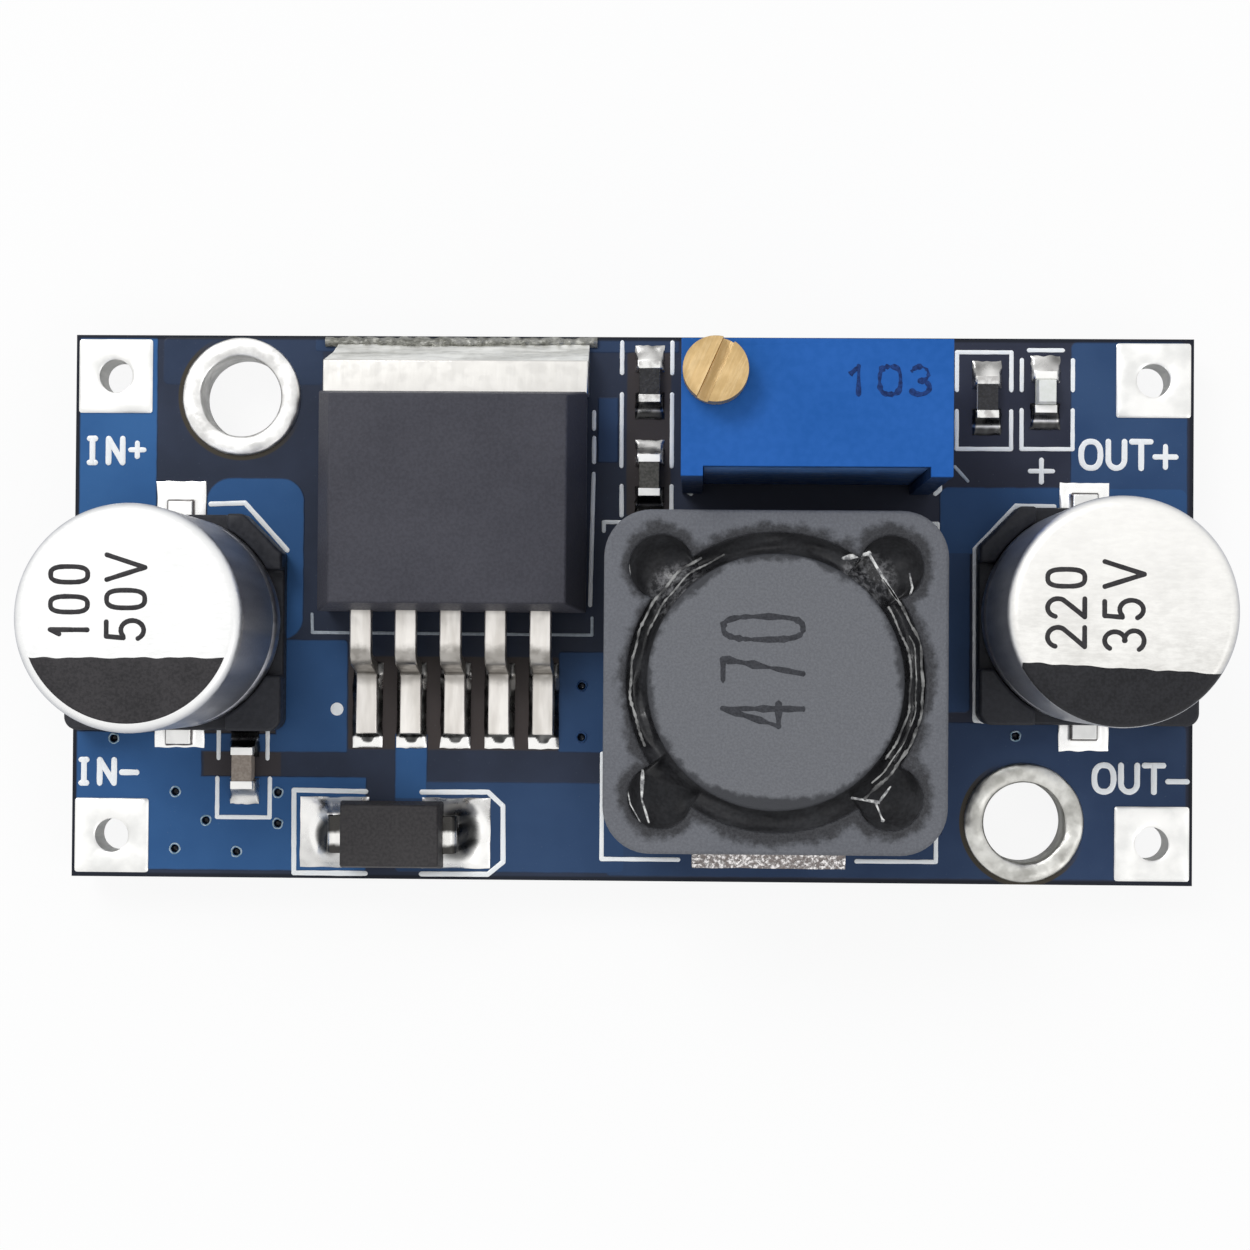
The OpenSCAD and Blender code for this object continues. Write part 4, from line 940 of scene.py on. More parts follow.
def ribbon(path, width, z, height, closed, shake, seed):
    """One raised ribbon, closed or with round ends half a width past the path's ends."""
    if closed:
        path = np.concatenate([path, path[:1]])
    else:
        first, last = path[0] - path[1], path[-1] - path[-2]
        path = np.concatenate([[path[0] + first / np.hypot(*first) * width / 2], path[1:-1],
                               [path[-1] + last / np.hypot(*last) * width / 2]])
    steps = np.hypot(*np.diff(path, axis=0).T)
    at = np.concatenate([[0], np.cumsum(steps)])
    r, length = width / 2, at[-1]
    ends = np.array([0, 0.06, 0.25, 0.6, 1.0]) * min(r, length / 2)
    extra = np.arange(0.3, length, 0.3)
    more = extra if closed else np.concatenate([ends, length - ends, extra])
    s = np.unique(np.round(np.concatenate([at, more]), 5))
    s = s[:-1] if closed else s
    points = np.stack([np.interp(s, at, path[:, k]) for k in (0, 1)], -1)
    if closed:
        before, after = points - np.roll(points, 1, 0), np.roll(points, -1, 0) - points
    else:
        gaps = np.diff(points, axis=0)
        before, after = np.concatenate([gaps[:1], gaps]), np.concatenate([gaps, gaps[-1:]])
    before, after = (d / np.maximum(np.hypot(*d.T), 1e-9)[:, None] for d in (before, after))
    way = before + after
    way = way / np.maximum(np.hypot(*way.T), 1e-6)[:, None]
    half = np.full(len(s), r)
    if not closed:
        near = np.minimum(s, length - s)
        half = r * np.sqrt(np.clip(1 - (1 - np.clip(near / r, 0, 1)) ** 2, 0, 1))
    half = half * (1 + shake * ripple(*points.T, 0.25, seed))
    side = np.stack([-way[:, 1], way[:, 0]], -1) * half[:, None]
    across = np.array([-1, -1, -0.75, 0.75, 1, 1])
    lift = np.array([-0.02, 0.6, 1, 1, 0.6, -0.02]) * height
    flat = points[:, None, :] + across[None, :, None] * side[:, None, :]
    z = np.broadcast_to(z + lift, flat.shape[:2])
    return loft(np.concatenate([flat, z[..., None]], -1), around=closed)


straight = ribbon(np.array([(0.0, 0.0), (1.0, 0.0)]), 0.2, 0, 0.03, False, 0, 0)
print("a ribbon 1 mm long:", len(straight[0]), "points")


# %% Letters
def oval(x, y, rx, ry, start, end, steps, power=2.0):
    """Points round an oval, squarer for a greater power: cos and sin to the 2 / power."""
    turn = np.radians(np.linspace(start, end, steps))
    c, s = np.cos(turn), np.sin(turn)
    return np.stack([x + rx * np.sign(c) * np.abs(c) ** (2 / power),
                     y + ry * np.sign(s) * np.abs(s) ** (2 / power)], -1).round(9)


# Each glyph: its width, then its paths in a box one unit high
GLYPHS = {
    "I": (0.36, [[(0, 0), (0.36, 0)], [(0, 1), (0.36, 1)], [(0.18, 0), (0.18, 1)]]),
    "N": (0.62, [[(0, 0), (0, 1), (0.62, 0), (0.62, 1)]]),
    "O": (0.72, [oval(0.36, 0.5, 0.36, 0.5, 90, 450, 32, 2.4)]),
    "U": (0.62, [[(0, 1), (0, 0.32), *oval(0.31, 0.32, 0.31, 0.32, 180, 360, 12),
                  (0.62, 1)]]),
    "T": (0.70, [[(0, 1), (0.70, 1)], [(0.35, 1), (0.35, 0)]]),
    "0": (0.52, [oval(0.26, 0.5, 0.26, 0.5, 90, 450, 36, 2.9)]),
    "1": (0.30, [[(0, 0.76), (0.24, 1), (0.24, 0)]]),
    "2": (0.54, [[*oval(0.27, 0.72, 0.27, 0.28, 165, -30, 16), (0.30, 0.34), (0, 0),
                  (0.54, 0)]]),
    "3": (0.52, [[*oval(0.25, 0.74, 0.24, 0.26, 150, -90, 16),
                  *oval(0.25, 0.25, 0.27, 0.25, 90, -150, 16)]]),
    "4": (0.56, [[(0.42, 0), (0.42, 1), (0, 0.3), (0.56, 0.3)]]),
    "5": (0.52, [[(0.48, 1), (0.07, 1), (0.03, 0.55),
                  *oval(0.25, 0.32, 0.27, 0.30, 128, -150, 18)]]),
    "7": (0.54, [[(0, 1), (0.54, 1), (0.18, 0)]]),
    "V": (0.62, [[(0, 1), (0.31, 0), (0.62, 1)]]),
}


def words(text, spots, foot, head, width, z, turn=0, height=0.03, shake=0.05):
    """Strokes of a line of text. Each letter fills its own (start, end) along the line, in
    mm, and the height from foot to head; turned by 90 degrees the line runs back and its
    letters lean to the left, with foot and head as places along X."""
    made = []
    for k, (letter, (start, end)) in enumerate(zip(text, spots)):
        wide, paths = GLYPHS[letter]
        scale = (end - start - width) / wide, abs(head - foot) - width
        for path in paths:
            flat = np.array(path) * scale + (start + width / 2, width / 2)
            if turn:
                flat = np.stack([foot - flat[:, 1], flat[:, 0]], -1)
            else:
                flat = flat + (0, foot)
            made += stroke(flat, width, z, height, shake, seed=len(made) + 9 * k)
    return made


print("glyphs:", "".join(GLYPHS))

# %% White print on the board
LINE = 0.19


def lines(*paths, width=LINE):
    """Plain lines on the board, each a list of (x, y) in mm."""
    return [r for k, p in enumerate(paths) for r in stroke(p, width, BOARD_TOP, 0.02, 0.07, k)]


def plus(x, y, arm, width):
    """A plus sign round x, y."""
    return lines([(x - arm, y), (x + arm, y)], [(x, y - arm), (x, y + arm)], width=width)


labels = [
    *words("IN", [(-21.17, -20.73), (-20.43, -19.66)], 5.43, 6.58, 0.22, BOARD_TOP),
    *plus(-19.20, 6.04, 0.26, 0.20),
    *words("IN", [(-21.37, -20.94), (-20.65, -19.87)], -7.00, -5.88, 0.22, BOARD_TOP),
    *lines([(-19.68, -6.47), (-19.10, -6.47)], width=0.22),
    *words("OUT", [(17.18, 18.14), (18.22, 19.06), (19.12, 20.06)], 5.42, 6.66, 0.22,
           BOARD_TOP),
    *plus(20.52, 5.97, 0.40, 0.20),
    *words("OUT", [(17.74, 18.70), (18.76, 19.60), (19.66, 20.60)], -7.02, -5.78, 0.22,
           BOARD_TOP),
    *lines([(20.66, -6.50), (21.40, -6.50)], width=0.20), *plus(15.77, 5.40, 0.43, 0.18),
]
lead_marks = [[(-12.34, -0.29), (-12.32, -1.00), (-1.49, -1.03), (-1.49, -0.37)],
              [(12.45, 5.55), (12.95, 5.0)]]
regulator_marks = [
    [(-1.47, 7.59), (-1.47, 6.95)],
    [(-1.46, 6.59), (-1.46, 5.66)], [(-1.47, 5.2), (-1.57, 0.13)],
]
diode_marks = [
    [(-10.19, -7.14), (-12.98, -7.10), (-12.96, -10.30), (-10.19, -10.30)],
    [(-8.02, -7.14), (-5.46, -7.12), (-4.88, -7.65), (-4.86, -9.81), (-5.44, -10.29),
     (-8.02, -10.30)],
]
capacitor_marks = [
    [(-16.31, 3.95), (-14.98, 4.0), (-13.33, 2.18)],
    [(16.26, 4.03), (14.80, 4.05), (13.24, 2.38), (13.27, -4.20), (13.62, -4.23)],
]
chip_marks = [
    [(-15.92, -4.81), (-15.92, -5.89)], [(-14.02, -4.81), (-14.02, -5.89)],
    [(-15.96, -6.66), (-15.96, -8.17), (-13.92, -8.17), (-13.92, -6.66)],
    [(-0.40, 10.3), (-0.40, 9.11)], [(-0.40, 8.29), (-0.40, 5.51)],
    [(-0.39, 4.74), (-0.38, 3.6)], [(1.54, 10.3), (1.54, 9.11)],
    [(1.54, 8.29), (1.54, 5.51)], [(1.54, 4.74), (1.54, 3.7)],
    [(12.51, 8.51), (12.51, 9.97), (14.60, 9.97), (14.60, 8.51)],
    [(12.51, 7.70), (12.51, 6.24), (14.60, 6.24), (14.60, 7.70)],
    [(15.00, 9.68), (15.00, 8.52)], [(16.96, 9.68), (16.96, 8.52)],
    [(15.00, 7.75), (15.00, 6.25), (16.96, 6.25), (16.96, 7.75)],
    [(15.27, 10.06), (16.57, 10.06)],
]
coil_marks = [
    [(-1.06, 3.0), (-1.06, 3.34), (-0.4, 3.34)], [(11.2, 3.34), (11.8, 3.34), (11.8, 2.2)],
    [(-1.06, -5.6), (-1.06, -9.66), (1.9, -9.66)], [(8.75, -9.66), (11.8, -9.66), (11.8, -8.4)],
    [(2.10, 5.2), (2.10, 4.59), (2.3, 4.45)], [(11.88, 5.2), (11.88, 4.65), (11.7, 4.5)],
]
dot = turned(np.array([[0, 0.03], [0.2, 0.028], [0.25, 0.01], [0.25, -0.01], [0, -0.01]])
             + (0, BOARD_TOP), -11.34, -3.96, 32)
white = [*labels, *lines(*regulator_marks, *chip_marks, *coil_marks, width=0.16),
         *lines(*diode_marks, *capacitor_marks), loft(dot)]
piece("white_print", white, WHITE_INK)
piece("pale_print", lines(*lead_marks, width=0.12), PALE_INK)


# %% Numbers and black segments on the cans, numbers on the coil and the trimmer
def segment(side, offset, tilt, rim_inset):
    """The black segment of a can's top: the part of a disc beyond a slightly ragged
    chord, `offset` mm from the middle, whose ends are `tilt` mm apart in height. Where it
    reaches the rounded edge it follows it down, by e - sqrt(e^2 - (r - R + e)^2)."""
    low, high = span(side + "_capacitor_can")
    cx, cy, wall = disc(low, high)
    r, edge = wall - rim_inset, CAN_EDGE
    half = math.sqrt(r * r - offset * offset)
    s = np.linspace(-1, 1, 120)
    chord_x = s * half
    chord = -offset + tilt * s / 2 + 0.02 * ripple(s, s * 0, 0.25, 5)
    rim = -np.sqrt(np.clip(r * r - chord_x ** 2, 0, None))
    chord = np.maximum(chord, rim)
    t = np.linspace(0, 1, 40)[:, None] ** 1.5
    dx, dy = np.broadcast_to(chord_x, (40, 120)), rim + (chord - rim) * t
    past = np.clip(np.hypot(dx, dy) - wall + edge, 0, edge * 0.995)
    top = high[2] - edge + np.sqrt(edge * edge - past * past)
    border = np.ones_like(dx)
    border[0] = border[-1] = border[:, 0] = border[:, -1] = 0
    return slab(cx + dx, cy + dy, top + 0.008 * border, top - 0.02)


piece("can_segment_left", [segment("input", 1.40, 0.05, 0.34)], BLACK_INK)
piece("can_segment_right", [segment("output", 1.97, -0.36, 0.03)], DEEP_INK)
marks = []
for text, spots, foot, head in (
        ("100", [(-1.32, -0.96), (-0.55, 0.17), (0.50, 1.22)], -18.74, -20.22),
        ("50V", [(-1.48, -0.66), (-0.39, 0.40), (0.60, 1.64)], -16.72, -18.24),
        ("220", [(-1.52, -0.68), (-0.48, 0.32), (0.58, 1.34)], 16.12, 14.66),
        ("35V", [(-1.62, -0.78), (-0.52, 0.28), (0.58, 1.62)], 18.18, 16.64)):
    marks += words(text, spots, foot, head, 0.17, can_top, 90, 0.012)
piece("can_print", marks, BLACK_INK)

coil_low, coil_high = span("inductor_drum")
numbers = words("470", [(-4.42, -3.40), (-2.80, -1.84), (-1.34, -0.32)], 6.44, 3.40, 0.20,
                coil_high[2], 90, 0.008, 0.5)
piece("coil_print", numbers, GREY_INK)
trim_low, trim_high = span("trimmer_housing")
numbers = words("103", [(7.82, 8.30), (8.80, 9.70), (9.90, 10.71)], 7.26, 8.40, 0.17,
                trim_high[2], 0, 0.010, 0.6)
piece("trimmer_print", numbers, NAVY_INK)

# %% [markdown]
# ## The regulator and the diode
# Both are moulded round a metal stamping. The CAD mesh has their drafts and bends, and only
# lacks the small radii that catch the light, so a copy of each is bevelled. The tab and the
# leads are plated copper that was rolled and then bent.

# %% Rounded bodies, tab, leads and terminals
def bent_lead():
    """Plated copper, rolled along the tab and along the leads, and darker round the bends and
    beside the body: partly tarnish, partly painted shade."""
    f = Finish("bent_lead", Metallic=1.0)
    y = f.axes()[1]
    front = y - lead_boxes[0][0][1]
    lined = f.noise(0.5, 3.0, (1, 6, 1)).ramp()
    rolled = f.noise(1.0, 3.0, (5, 1, 1), 2.0).ramp()
    patch = f.noise(0.5, 3.0, shift=4.0).ramp(0.35, 0.65)
    # partly tarnish, partly painted shade: darker round the bends and in a band beside the body
    dull = abs(front - 2.6 - patch * 0.15).ramp(0.85, 0.45) * (0.72 + patch * 0.2)
    dull = dull.most(front.ramp(4.50, 4.80) * front.ramp(6.0, 5.5) * 0.6)
    pale = f.tint(lined, (0.62, 0.59, 0.55), (0.84, 0.81, 0.77))
    pale = f.tint(front.ramp(6.0, 7.0), pale,
                  f.tint(rolled, (0.70, 0.685, 0.655), (0.77, 0.755, 0.725)))
    return f.wear(f.tint(dull, pale, (0.25, 0.235, 0.215)),
                  patch.ramp(0, 1, 0.30, 0.44),
                  lined, 0.004)


plated = bent_lead()
soften("regulator_leads", plated, 0.05)
soften("regulator_body", COMPOUND, 0.07)
soften("regulator_tab", plated, 0.05)


def terminal_painted_reflection():
    """Tin over the terminal: a painted dark reflection, with one painted highlight in the
    middle.
    """
    f = Finish("terminal_painted_reflection", Metallic=1.0)
    y = f.axes()[1]
    patch = f.noise(0.4, 3.0)
    middle = (diode_low[1] + diode_high[1]) / 2 - 0.15
    # painted reflection: dark away from the middle, a painted highlight along it
    painted_dark = (abs(y - middle) + patch * 0.25 - 0.12).ramp(0.16, 0.34)
    return f.wear(f.tint(painted_dark, (0.86, 0.85, 0.82), (0.055, 0.053, 0.050)),
                  patch.ramp(0.3, 0.7, 0.2, 0.4))


soften("diode_body", DIODE_COMPOUND, 0.08)
soften("diode_terminals", terminal_painted_reflection(), 0.04)

# %% [markdown]
# ## The inductor
# A ferrite drum with its winding sits in a square ferrite shield, and black resin fills the
# gap between them. Resin was spread by hand: it climbs both walls, leaves ridges, and
# smears the ferrite round the opening. The shield's finish darkens towards the opening,
# which is the same circle and four pockets as in the CAD. The resin is a ring of hills and
# hollows between the drum's edge and that opening.

# %% Ferrite with a smeared margin
shield_low, shield_high = span("inductor_shield")
CX, CY = (shield_low + shield_high)[:2] / 2
DRUM_R = (coil_high[0] - coil_low[0]) / 2
BORE_R, POCKET_R, POCKET_AT = 5.35, 1.15, 4.1


def smeared_ferrite():
    """Grey grain that turns nearly black within a millimetre of the opening."""
    f = Finish("shield_ferrite", Specular_IOR_Level=0.2)
    x, y, z = f.axes()
    px, py = x - CX, y - CY
    bore = px.hypot(py) - BORE_R
    qx, qy = abs(px) - POCKET_AT, abs(py) - POCKET_AT
    away = bore.least(qx.hypot(qy) - POCKET_R)
    smear = f.noise(0.5, 5.0, rough=0.65)
    slow = f.noise(2.8, 2.0, shift=5.0)
    low = (py * -1.0).ramp(3.6, 4.6) * abs(px).ramp(4.2, 3.4) * 0.15
    margin = (away - (smear - 0.5) * 0.9 - (slow - 0.5) * 0.8 - low).ramp(0.50, 0.12)
    margin = margin * (z - shield_high[2]).ramp(-0.9, -0.2)
    grain = f.noise(0.10, 3.0, shift=3.0, rough=0.7).ramp()
    cloud = f.noise(3.0, 3.0, shift=1.0).ramp()
    grey = f.tint(grain * 0.7 + cloud * 0.3, (0.124, 0.129, 0.146), (0.186, 0.193, 0.214))
    black = f.tint(grain, (0.018, 0.018, 0.021), (0.046, 0.047, 0.052))
    return f.wear(f.tint(margin * 0.92, grey, black),
                  grain.ramp(0, 1, 0.52, 0.70) - margin * 0.2,
                  grain * 0.6 + smear * margin * 0.8, 0.02)


def stained_drum():
    """The drum's face: even grey grain, stained dark near its edge."""
    f = Finish("stained_ferrite", Specular_IOR_Level=0.2)
    x, y, _ = f.axes()
    px, py = x - CX, y - CY
    inward = DRUM_R - px.hypot(py)
    smear = f.noise(0.45, 5.0, shift=2.0, rough=0.65)
    slow = f.noise(2.5, 2.0, shift=8.0)
    low = (py * -1.0).ramp(3.0, 4.4) * 0.22
    margin = (inward - (smear - 0.5) * 0.7 - (slow - 0.45) * 0.8 - low).ramp(0.25, 0.0)
    grain = f.noise(0.09, 3.0, shift=3.0, rough=0.7).ramp()
    grey = f.tint(grain, (0.140, 0.145, 0.160), (0.184, 0.190, 0.208))
    return f.wear(f.tint(margin * 0.85, grey, (0.034, 0.035, 0.040)),
                  grain.ramp(0, 1, 0.52, 0.68),
                  grain * 0.6 + smear * margin * 0.8, 0.014)


soften("inductor_shield", smeared_ferrite(), 0.12, 3)
soften("inductor_drum", stained_drum(), 0.10, 3)
soften("inductor_base", BASE_PLASTIC, 0.05)
keep("inductor_terminals", TIN)
keep("inductor_winding", ENAMEL)


# %% The resin's surface between drum and shield
def opening(turn):
    """Distance from the middle to the opening's edge at an angle: the bore's radius, or
    the far side of a pocket's circle where the ray crosses one."""
    reach = np.full_like(turn, BORE_R)
    for sx in (-1, 1):
        for sy in (-1, 1):
            along = POCKET_AT * (sx * np.cos(turn) + sy * np.sin(turn))
            inside = along ** 2 - 2 * POCKET_AT ** 2 + POCKET_R ** 2
            far = along + np.sqrt(np.clip(inside, 0, None))
            reach = np.where((inside > 0) & (along > 0), np.maximum(reach, far), reach)
    return reach


def resin_surface():
    """Resin over the ring between drum and opening. With t from 0 at the drum to 1 at the
    shield, its depth is low * (1 - |2t - 1|^3), so that it climbs both walls, plus
    lengthwise ridges and bits; it is shallow in the gap and deeper in the pockets."""
    turn = np.linspace(0, 2 * np.pi, 720, endpoint=False)
    t = np.linspace(0, 1, 26)[:, None]
    outer, inner = opening(turn) + 0.03, DRUM_R - 0.04
    radius = inner + (outer - inner) * t
    x, y = CX + radius * np.cos(turn), CY + radius * np.sin(turn)
    gap = outer - inner
    deep = np.clip((gap - 0.85) / 0.8, 0, 1)
    hollow = (2 * t - 1) ** 2
    low = 0.50 + 0.55 * deep + 0.12 * ripple(x, y, 2.6, 71)
    ridge = 0.04 * np.sin(t * 9.0 + 2.5 * ripple(np.cos(turn), np.sin(turn), 1.5, 72))
    bits = 0.03 * ripple(x, y, 0.9, 73)
    z = shield_high[2] - 0.10 - low * (1 - hollow ** 1.5) + (ridge + bits) * (1 - hollow)
    z = np.minimum(z, shield_high[2] - 0.03)
    upper = np.stack([x, y, z], -1)
    under = upper.copy()
    under[..., 2] = shield_high[2] - 1.4
    return loft(np.concatenate([upper, under[::-1]]).transpose(1, 0, 2), around=True)


print("opening ahead and over a pocket:", opening(np.radians([0, 45])).round(2))


# %% Finishes for resin
def resin_finish():
    """Black resin, glossy where it flowed in the gap, dull in the pockets and along the
    front and back, with pale painted highlights beside the two pockets at the back."""
    f = Finish("black_resin", Specular_IOR_Level=0.35, Coat_Roughness=0.10, Coat_IOR=1.4)
    x, y, _ = f.axes()
    px, py = x - CX, y - CY
    pocket = (px * px + py * py).ramp(5.35 ** 2, 5.75 ** 2)
    low = (py * -1.0).ramp(2.6, 3.8).most(py.ramp(4.0, 4.6) * abs(px).ramp(3.0, 2.2))
    matt = pocket.most(low)
    right = ((px - 3.3) ** 2 + (py - 3.7) ** 2).ramp(1.5, 0.5)
    left = ((px + 3.5) ** 2 + (py - 3.2) ** 2).ramp(1.6, 0.5)
    patch = f.noise(0.9, 3.0, rough=0.5).ramp(0.42, 0.62)
    fine = f.noise(0.14, 3.0, shift=6.0).ramp()
    # painted highlight: pale streaks beside the two back pockets
    painted_glint = f.noise(0.24, 4.0, shift=12.0, rough=0.7).ramp(0.42, 0.66)
    black = f.tint(fine * 0.5 + patch * 0.5, (0.014, 0.014, 0.016), (0.040, 0.041, 0.045))
    f.put("Coat Weight", (1 - patch) * 0.3 * (1 - matt))
    return f.wear(f.tint(painted_glint * right.most(left), black, (0.22, 0.22, 0.23)),
                  patch.ramp(0, 1, 0.26, 0.48) + matt * 0.4,
                  fine * 0.3 + patch * 0.7, 0.010)


def threads_with_painted_highlights(name, dark, pale, size):
    """Pulled threads of resin with painted highlights: pale in clouds of noise."""
    f = Finish(name, Specular_IOR_Level=0.4)
    fine = f.noise(size, 3.0, rough=0.6).ramp(0.35, 0.65)
    return f.wear(f.tint(fine, (dark, dark, dark * 1.05), (pale, pale, pale * 0.98)),
                  fine.ramp(0, 1, 0.5, 0.3))


piece("coil_resin", [resin_surface()], resin_finish(), instead=["inductor_adhesive"],
      crease=80)


# %% Threads of resin
def rings_of_resin():
    """Threads along the gap, as arcs about the drum's axis that waver a little."""
    made = []
    for radius, start, end, width in ((5.25, 44, -52, 0.10), (4.82, 34, -34, 0.08),
                                      (5.02, 20, -46, 0.05), (5.20, 122, 206, 0.09),
                                      (4.90, 112, 160, 0.07)):
        path = arc(CX, CY, radius, start, end, 60)
        path = path + 0.07 * np.stack([ripple(*path.T, 1.6, 81), ripple(*path.T, 1.6, 82)], -1)
        made += stroke(path, width, shield_high[2] - 0.17, 0.05, 0.5, 83)
    return made


def pocket_threads():
    """Threads over the pockets; their points are mm from the drum's axis."""
    made, z = [], shield_high[2] - 0.17
    for points, width in (([(-5.1, 4.9), (-5.3, 4.3), (-5.25, 3.7), (-5.0, 3.1)], 0.09),
                          ([(-5.0, -2.5), (-4.72, -3.2), (-4.75, -4.2), (-4.5, -5.0)], 0.12),
                          ([(-5.3, -3.7), (-5.15, -4.4), (-4.75, -5.1)], 0.05),
                          ([(4.1, -3.7), (3.7, -4.25), (2.75, -4.1)], 0.09),
                          ([(3.6, -4.3), (3.85, -4.9)], 0.10),
                          ([(2.4, 4.45), (3.3, 4.62)], 0.16),
                          ([(3.3, 4.6), (3.6, 4.1), (4.3, 3.0)], 0.10),
                          ([(4.75, 3.9), (4.85, 3.4), (4.7, 2.9)], 0.07)):
        made += stroke(np.array(points) + (CX, CY), width, z, 0.05, 0.5, 84)
    return made


# painted highlights: the threads' pale patches stand in for glints on the resin
piece("resin_rings", rings_of_resin(), threads_with_painted_highlights("dim_threads_painted_highlight", 0.03, 0.34, 0.7))
piece("resin_threads", pocket_threads(), threads_with_painted_highlights("bright_threads_painted_glint", 0.16, 0.85, 0.25))

# %% [markdown]
# ## The trimmer
# A blue moulded housing with a dark sealed front. The screw's head is turned brass with a
# sawn slot, scratched by screwdrivers along the slot and worn dull round its rim. Its
# scratches are noise stretched along the slot's direction.

# %% Brass and the trimmer's finishes
screw_low, screw_high = span("trimmer_screw")
SX, SY = (screw_low + screw_high)[:2] / 2


def worn_brass():
    """Brass with fine turned rings and scratches along the slot."""
    f = Finish("worn_brass", Metallic=1.0)
    x, y, z = f.axes()
    c, s = math.cos(math.radians(66)), math.sin(math.radians(66))
    px, py = x - SX, y - SY
    along, across = px * c + py * s, py * c - px * s
    lined = f.node("CombineXYZ", None, {0: along * 0.35, 1: across * 3.0, 2: z})
    scratch = f.noise(0.35, 4.0, rough=0.6, spot=lined).ramp(0.40, 0.70)
    cloud = f.noise(0.5, 3.0, shift=3.0).ramp()
    rim = px.hypot(py).ramp(0.85, 1.12)
    gold = f.tint(cloud, (0.50, 0.345, 0.16), (0.59, 0.42, 0.21))
    gold = f.tint(scratch * 0.4, gold, (0.72, 0.55, 0.32))
    return f.wear(f.tint(rim * 0.3, gold, (0.36, 0.24, 0.11)),
                  0.40 + cloud * 0.12 - scratch * 0.06,
                  scratch * 0.6 + cloud * 0.4, 0.004)


def trimmer_blue():
    """Blue plastic, with painted shade on its front below the top."""
    f = Finish("blue_with_painted_shade", Specular_IOR_Level=0.10)
    _, y, z = f.axes()
    slow = f.noise(3.0, 3.0, shift=2.0).ramp()
    fine = f.noise(0.3, 2.0, shift=7.0).ramp()
    # painted shade: the front, below the top, goes dark navy
    front = (y - trim_low[1] + slow * 0.1).ramp(1.1, 0.7)
    below = (z - trim_high[2] + slow * 0.1).ramp(-0.10, -0.35)
    blue = f.tint(slow * 0.6 + fine * 0.4, (0.015, 0.106, 0.398), (0.024, 0.130, 0.470))
    return f.wear(f.tint(front * below * 0.85, blue, (0.014, 0.026, 0.056)),
                  fine.ramp(0, 1, 0.42, 0.52),
                  fine, 0.002)


soften("trimmer_housing", trimmer_blue(), 0.07)
soften("trimmer_screw", worn_brass(), 0.035)
for node, finish in (("sealant", DARK_RESIN), ("plate", ALUMINA), ("pins", LEAD),
                     ("lands", TIN), ("solder", SOLDER), ("o_ring", RUBBER),
                     ("carriage", WHITE_PLASTIC), ("wiper", BRONZE)):
    keep("trimmer_" + node, finish)

# %% [markdown]
# ## Chips and the lamp
# Chip parts are millimetre-sized bricks of ceramic with tinned ends. Their corners are
# rounded by tumbling, so every one is bevelled. The lamp is a pale resin lens on a white
# carrier, with its two gilt ends beside it.

# %% Rounded chips
def chip_ceramic():
    """Fired ceramic, brown on the input's chip and nearly black on the coil's."""
    f = Finish("chip_ceramic", Specular_IOR_Level=0.3)
    grain = f.noise(0.10, 2.0).ramp()
    brown = f.tint(grain, (0.290, 0.243, 0.205), (0.400, 0.340, 0.290))
    black = f.tint(grain, (0.060, 0.058, 0.050), (0.130, 0.125, 0.110))
    return f.wear(f.tint(f.axes()[0].ramp(-8, -4), brown, black),
                  grain.ramp(0, 1, 0.4, 0.55))


for node, finish in (("resistor_bodies", ALUMINA), ("resistor_coats", GLASS_COAT),
                     ("resistor_ends", SOLDER), ("ceramic_bodies", chip_ceramic()),
                     ("ceramic_ends", TIN), ("led_base", LAMP_BASE),
                     ("led_lens", LAMP_LENS), ("led_ends", TIN)):
    soften(node, finish, 0.012 if node == "resistor_coats" else 0.03)

# %% [markdown]
# ## The stage
# The part lies on a pale floor under soft light, seen from straight above with a slight
# lean. The world is white to the camera, to glossy and to transmission rays, so that metal
# shows the same pale room, and it is dimmer as a light. One broad lamp gives a direction
# and small bright glints, and the floor keeps a faint shadow.

# %% The floor
def floor_finish():
    """A pale floor that the camera sees as nearly white."""
    f = Finish("pale_floor", Specular_IOR_Level=0.0)
    f.wear(f.tint(f.noise(40.0), (0.90, 0.90, 0.90), (0.93, 0.93, 0.93)),
           f.noise(15.0).ramp(0, 1, 0.7, 0.9))
    camera_sees = f.node("LightPath", output="Is Camera Ray")
    glow = f.node("Emission", None, {"Color": (1, 1, 1, 1), "Strength": 1.0})
    plain = Wire(f, f.shader.outputs[0])
    mixed = f.node("MixShader", None, {0: camera_sees * 0.90, 1: plain, 2: glow})
    f.tree.links.new(mixed.socket, f.tree.nodes["Material Output"].inputs[0])
    return f.material


FLOOR_HALF = 1.5  # metres
mesh = bpy.data.meshes.new("floor")
corners = ((-1, -1), (1, -1), (1, 1), (-1, 1))
mesh.from_pydata([(a * FLOOR_HALF, b * FLOOR_HALF, 0) for a, b in corners], [], [(0, 1, 2, 3)])
mesh.materials.append(floor_finish())
floor = bpy.data.objects.new("floor", mesh)
bpy.context.scene.collection.objects.link(floor)
floor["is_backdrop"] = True
print("floor", 2 * FLOOR_HALF, "m wide")

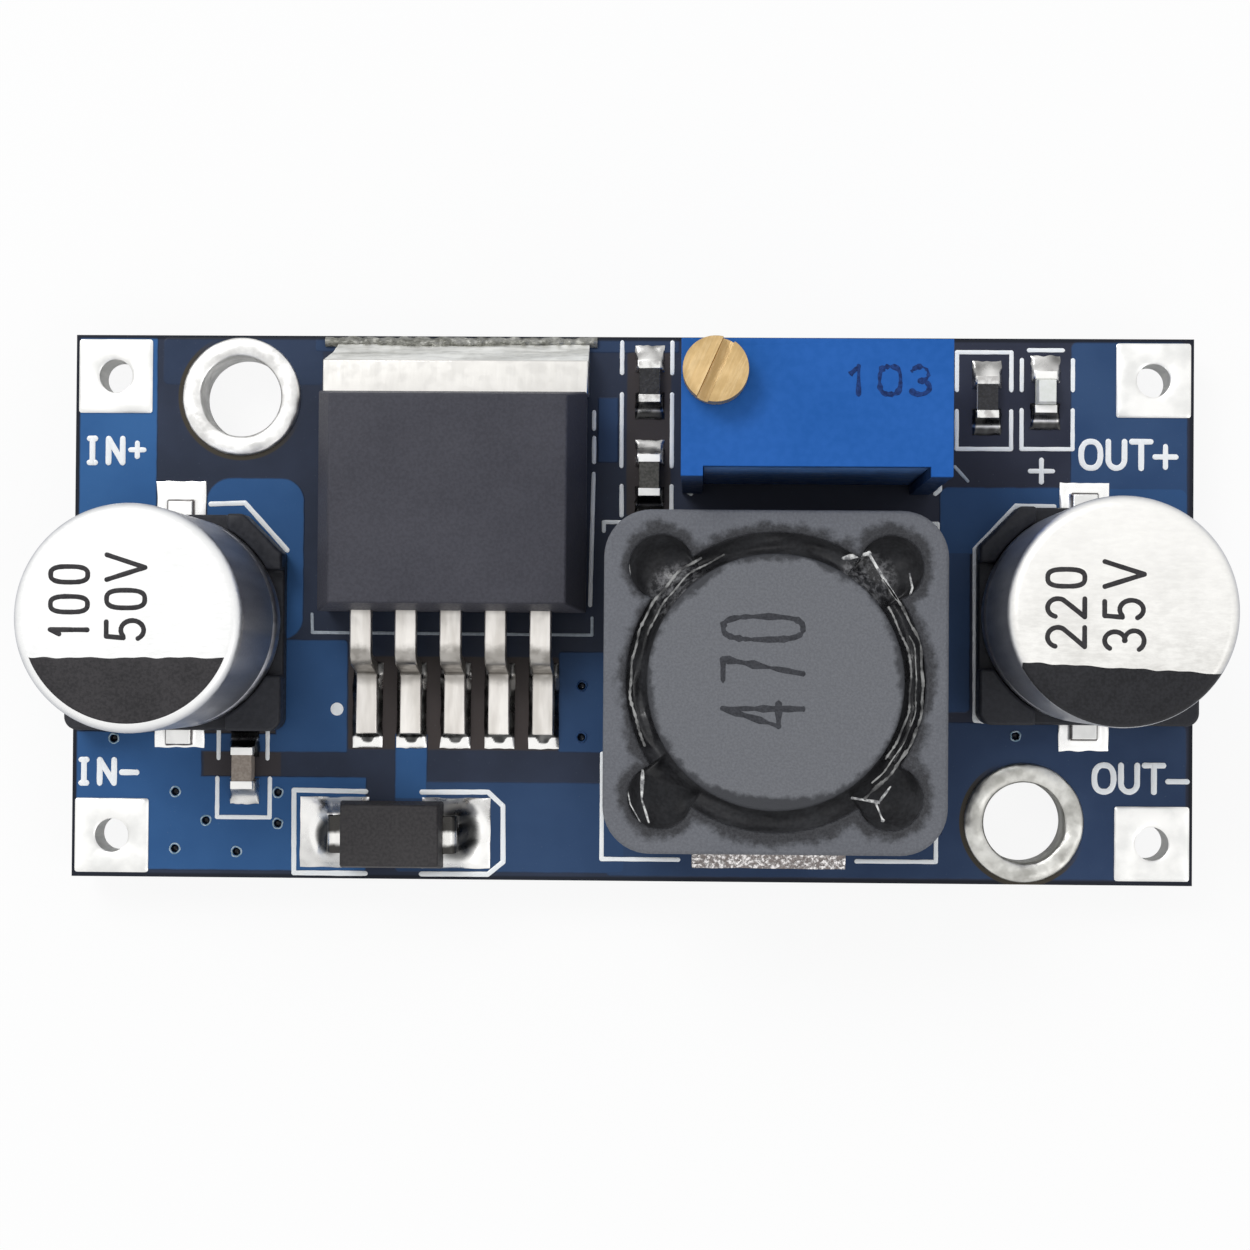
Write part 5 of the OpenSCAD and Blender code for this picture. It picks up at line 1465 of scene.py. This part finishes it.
# %% The world
world = bpy.data.worlds.new("pale_room")
world.use_nodes = True
bpy.context.scene.world = world
room = Finish.__new__(Finish)
room.tree = world.node_tree
room.tree.nodes.clear()
camera_ray, glossy_ray, transmission_ray = (
    room.node("LightPath", output=f"Is {kind} Ray")
    for kind in ("Camera", "Glossy", "Transmission"))
seen = room.node("Background", None, {"Color": (1, 1, 1, 1), "Strength": 1.0})
lit = room.node("Background", None, {"Color": (0.97, 0.985, 1.0, 1), "Strength": 0.62})
white_share = camera_ray.most(glossy_ray).most(transmission_ray)
mixed = room.node("MixShader", None, {0: white_share, 1: lit, 2: seen})
out = room.tree.nodes.new("ShaderNodeOutputWorld")
room.tree.links.new(mixed.socket, out.inputs[0])
print("nodes in the world:", len(room.tree.nodes))


# %% Lamps and camera
def lamp(name, place, size, power):
    """A square soft lamp at `place` in metres, turned towards the part."""
    light = bpy.data.lights.new(name, "AREA")
    light.size, light.energy = size, power
    obj = bpy.data.objects.new(name, light)
    obj.location = place
    obj.rotation_mode = "QUATERNION"
    way = Vector((0, 0, 0.005)) - Vector(place)
    obj.rotation_quaternion = way.to_track_quat("-Z", "Y")
    bpy.context.scene.collection.objects.link(obj)


lamp("key", (-0.16, 0.20, 0.34), 0.16, 0.62)
lamp("fill", (0.24, -0.16, 0.30), 0.20, 0.16)

camera = bpy.data.cameras.new("camera")
camera.lens, camera.sensor_width, camera.clip_start = 80.0, 36.0, 0.001
eye = bpy.data.objects.new("camera", camera)
lean = np.array([-0.0151388, -0.0259406, -0.0070010])
angle = float(np.linalg.norm(lean))
eye.rotation_mode = "QUATERNION"
eye.rotation_quaternion = Quaternion(lean / angle, angle).inverted()
eye.location = (0.0025700, -0.0022449, 0.1071859 + BOARD_TOP * MM)
bpy.context.scene.collection.objects.link(eye)
bpy.context.scene.camera = eye
bpy.context.scene.view_settings.view_transform = "Standard"
print("camera at", [round(c, 4) for c in eye.location], "m, lens", camera.lens, "mm")

# %% Both boxes
visual_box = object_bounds()
plain = lambda box: [[float(c) for c in corner] for corner in box]
{"cad": plain(cad_box), "visual": plain(visual_box)}
print("visual box", plain(visual_box))
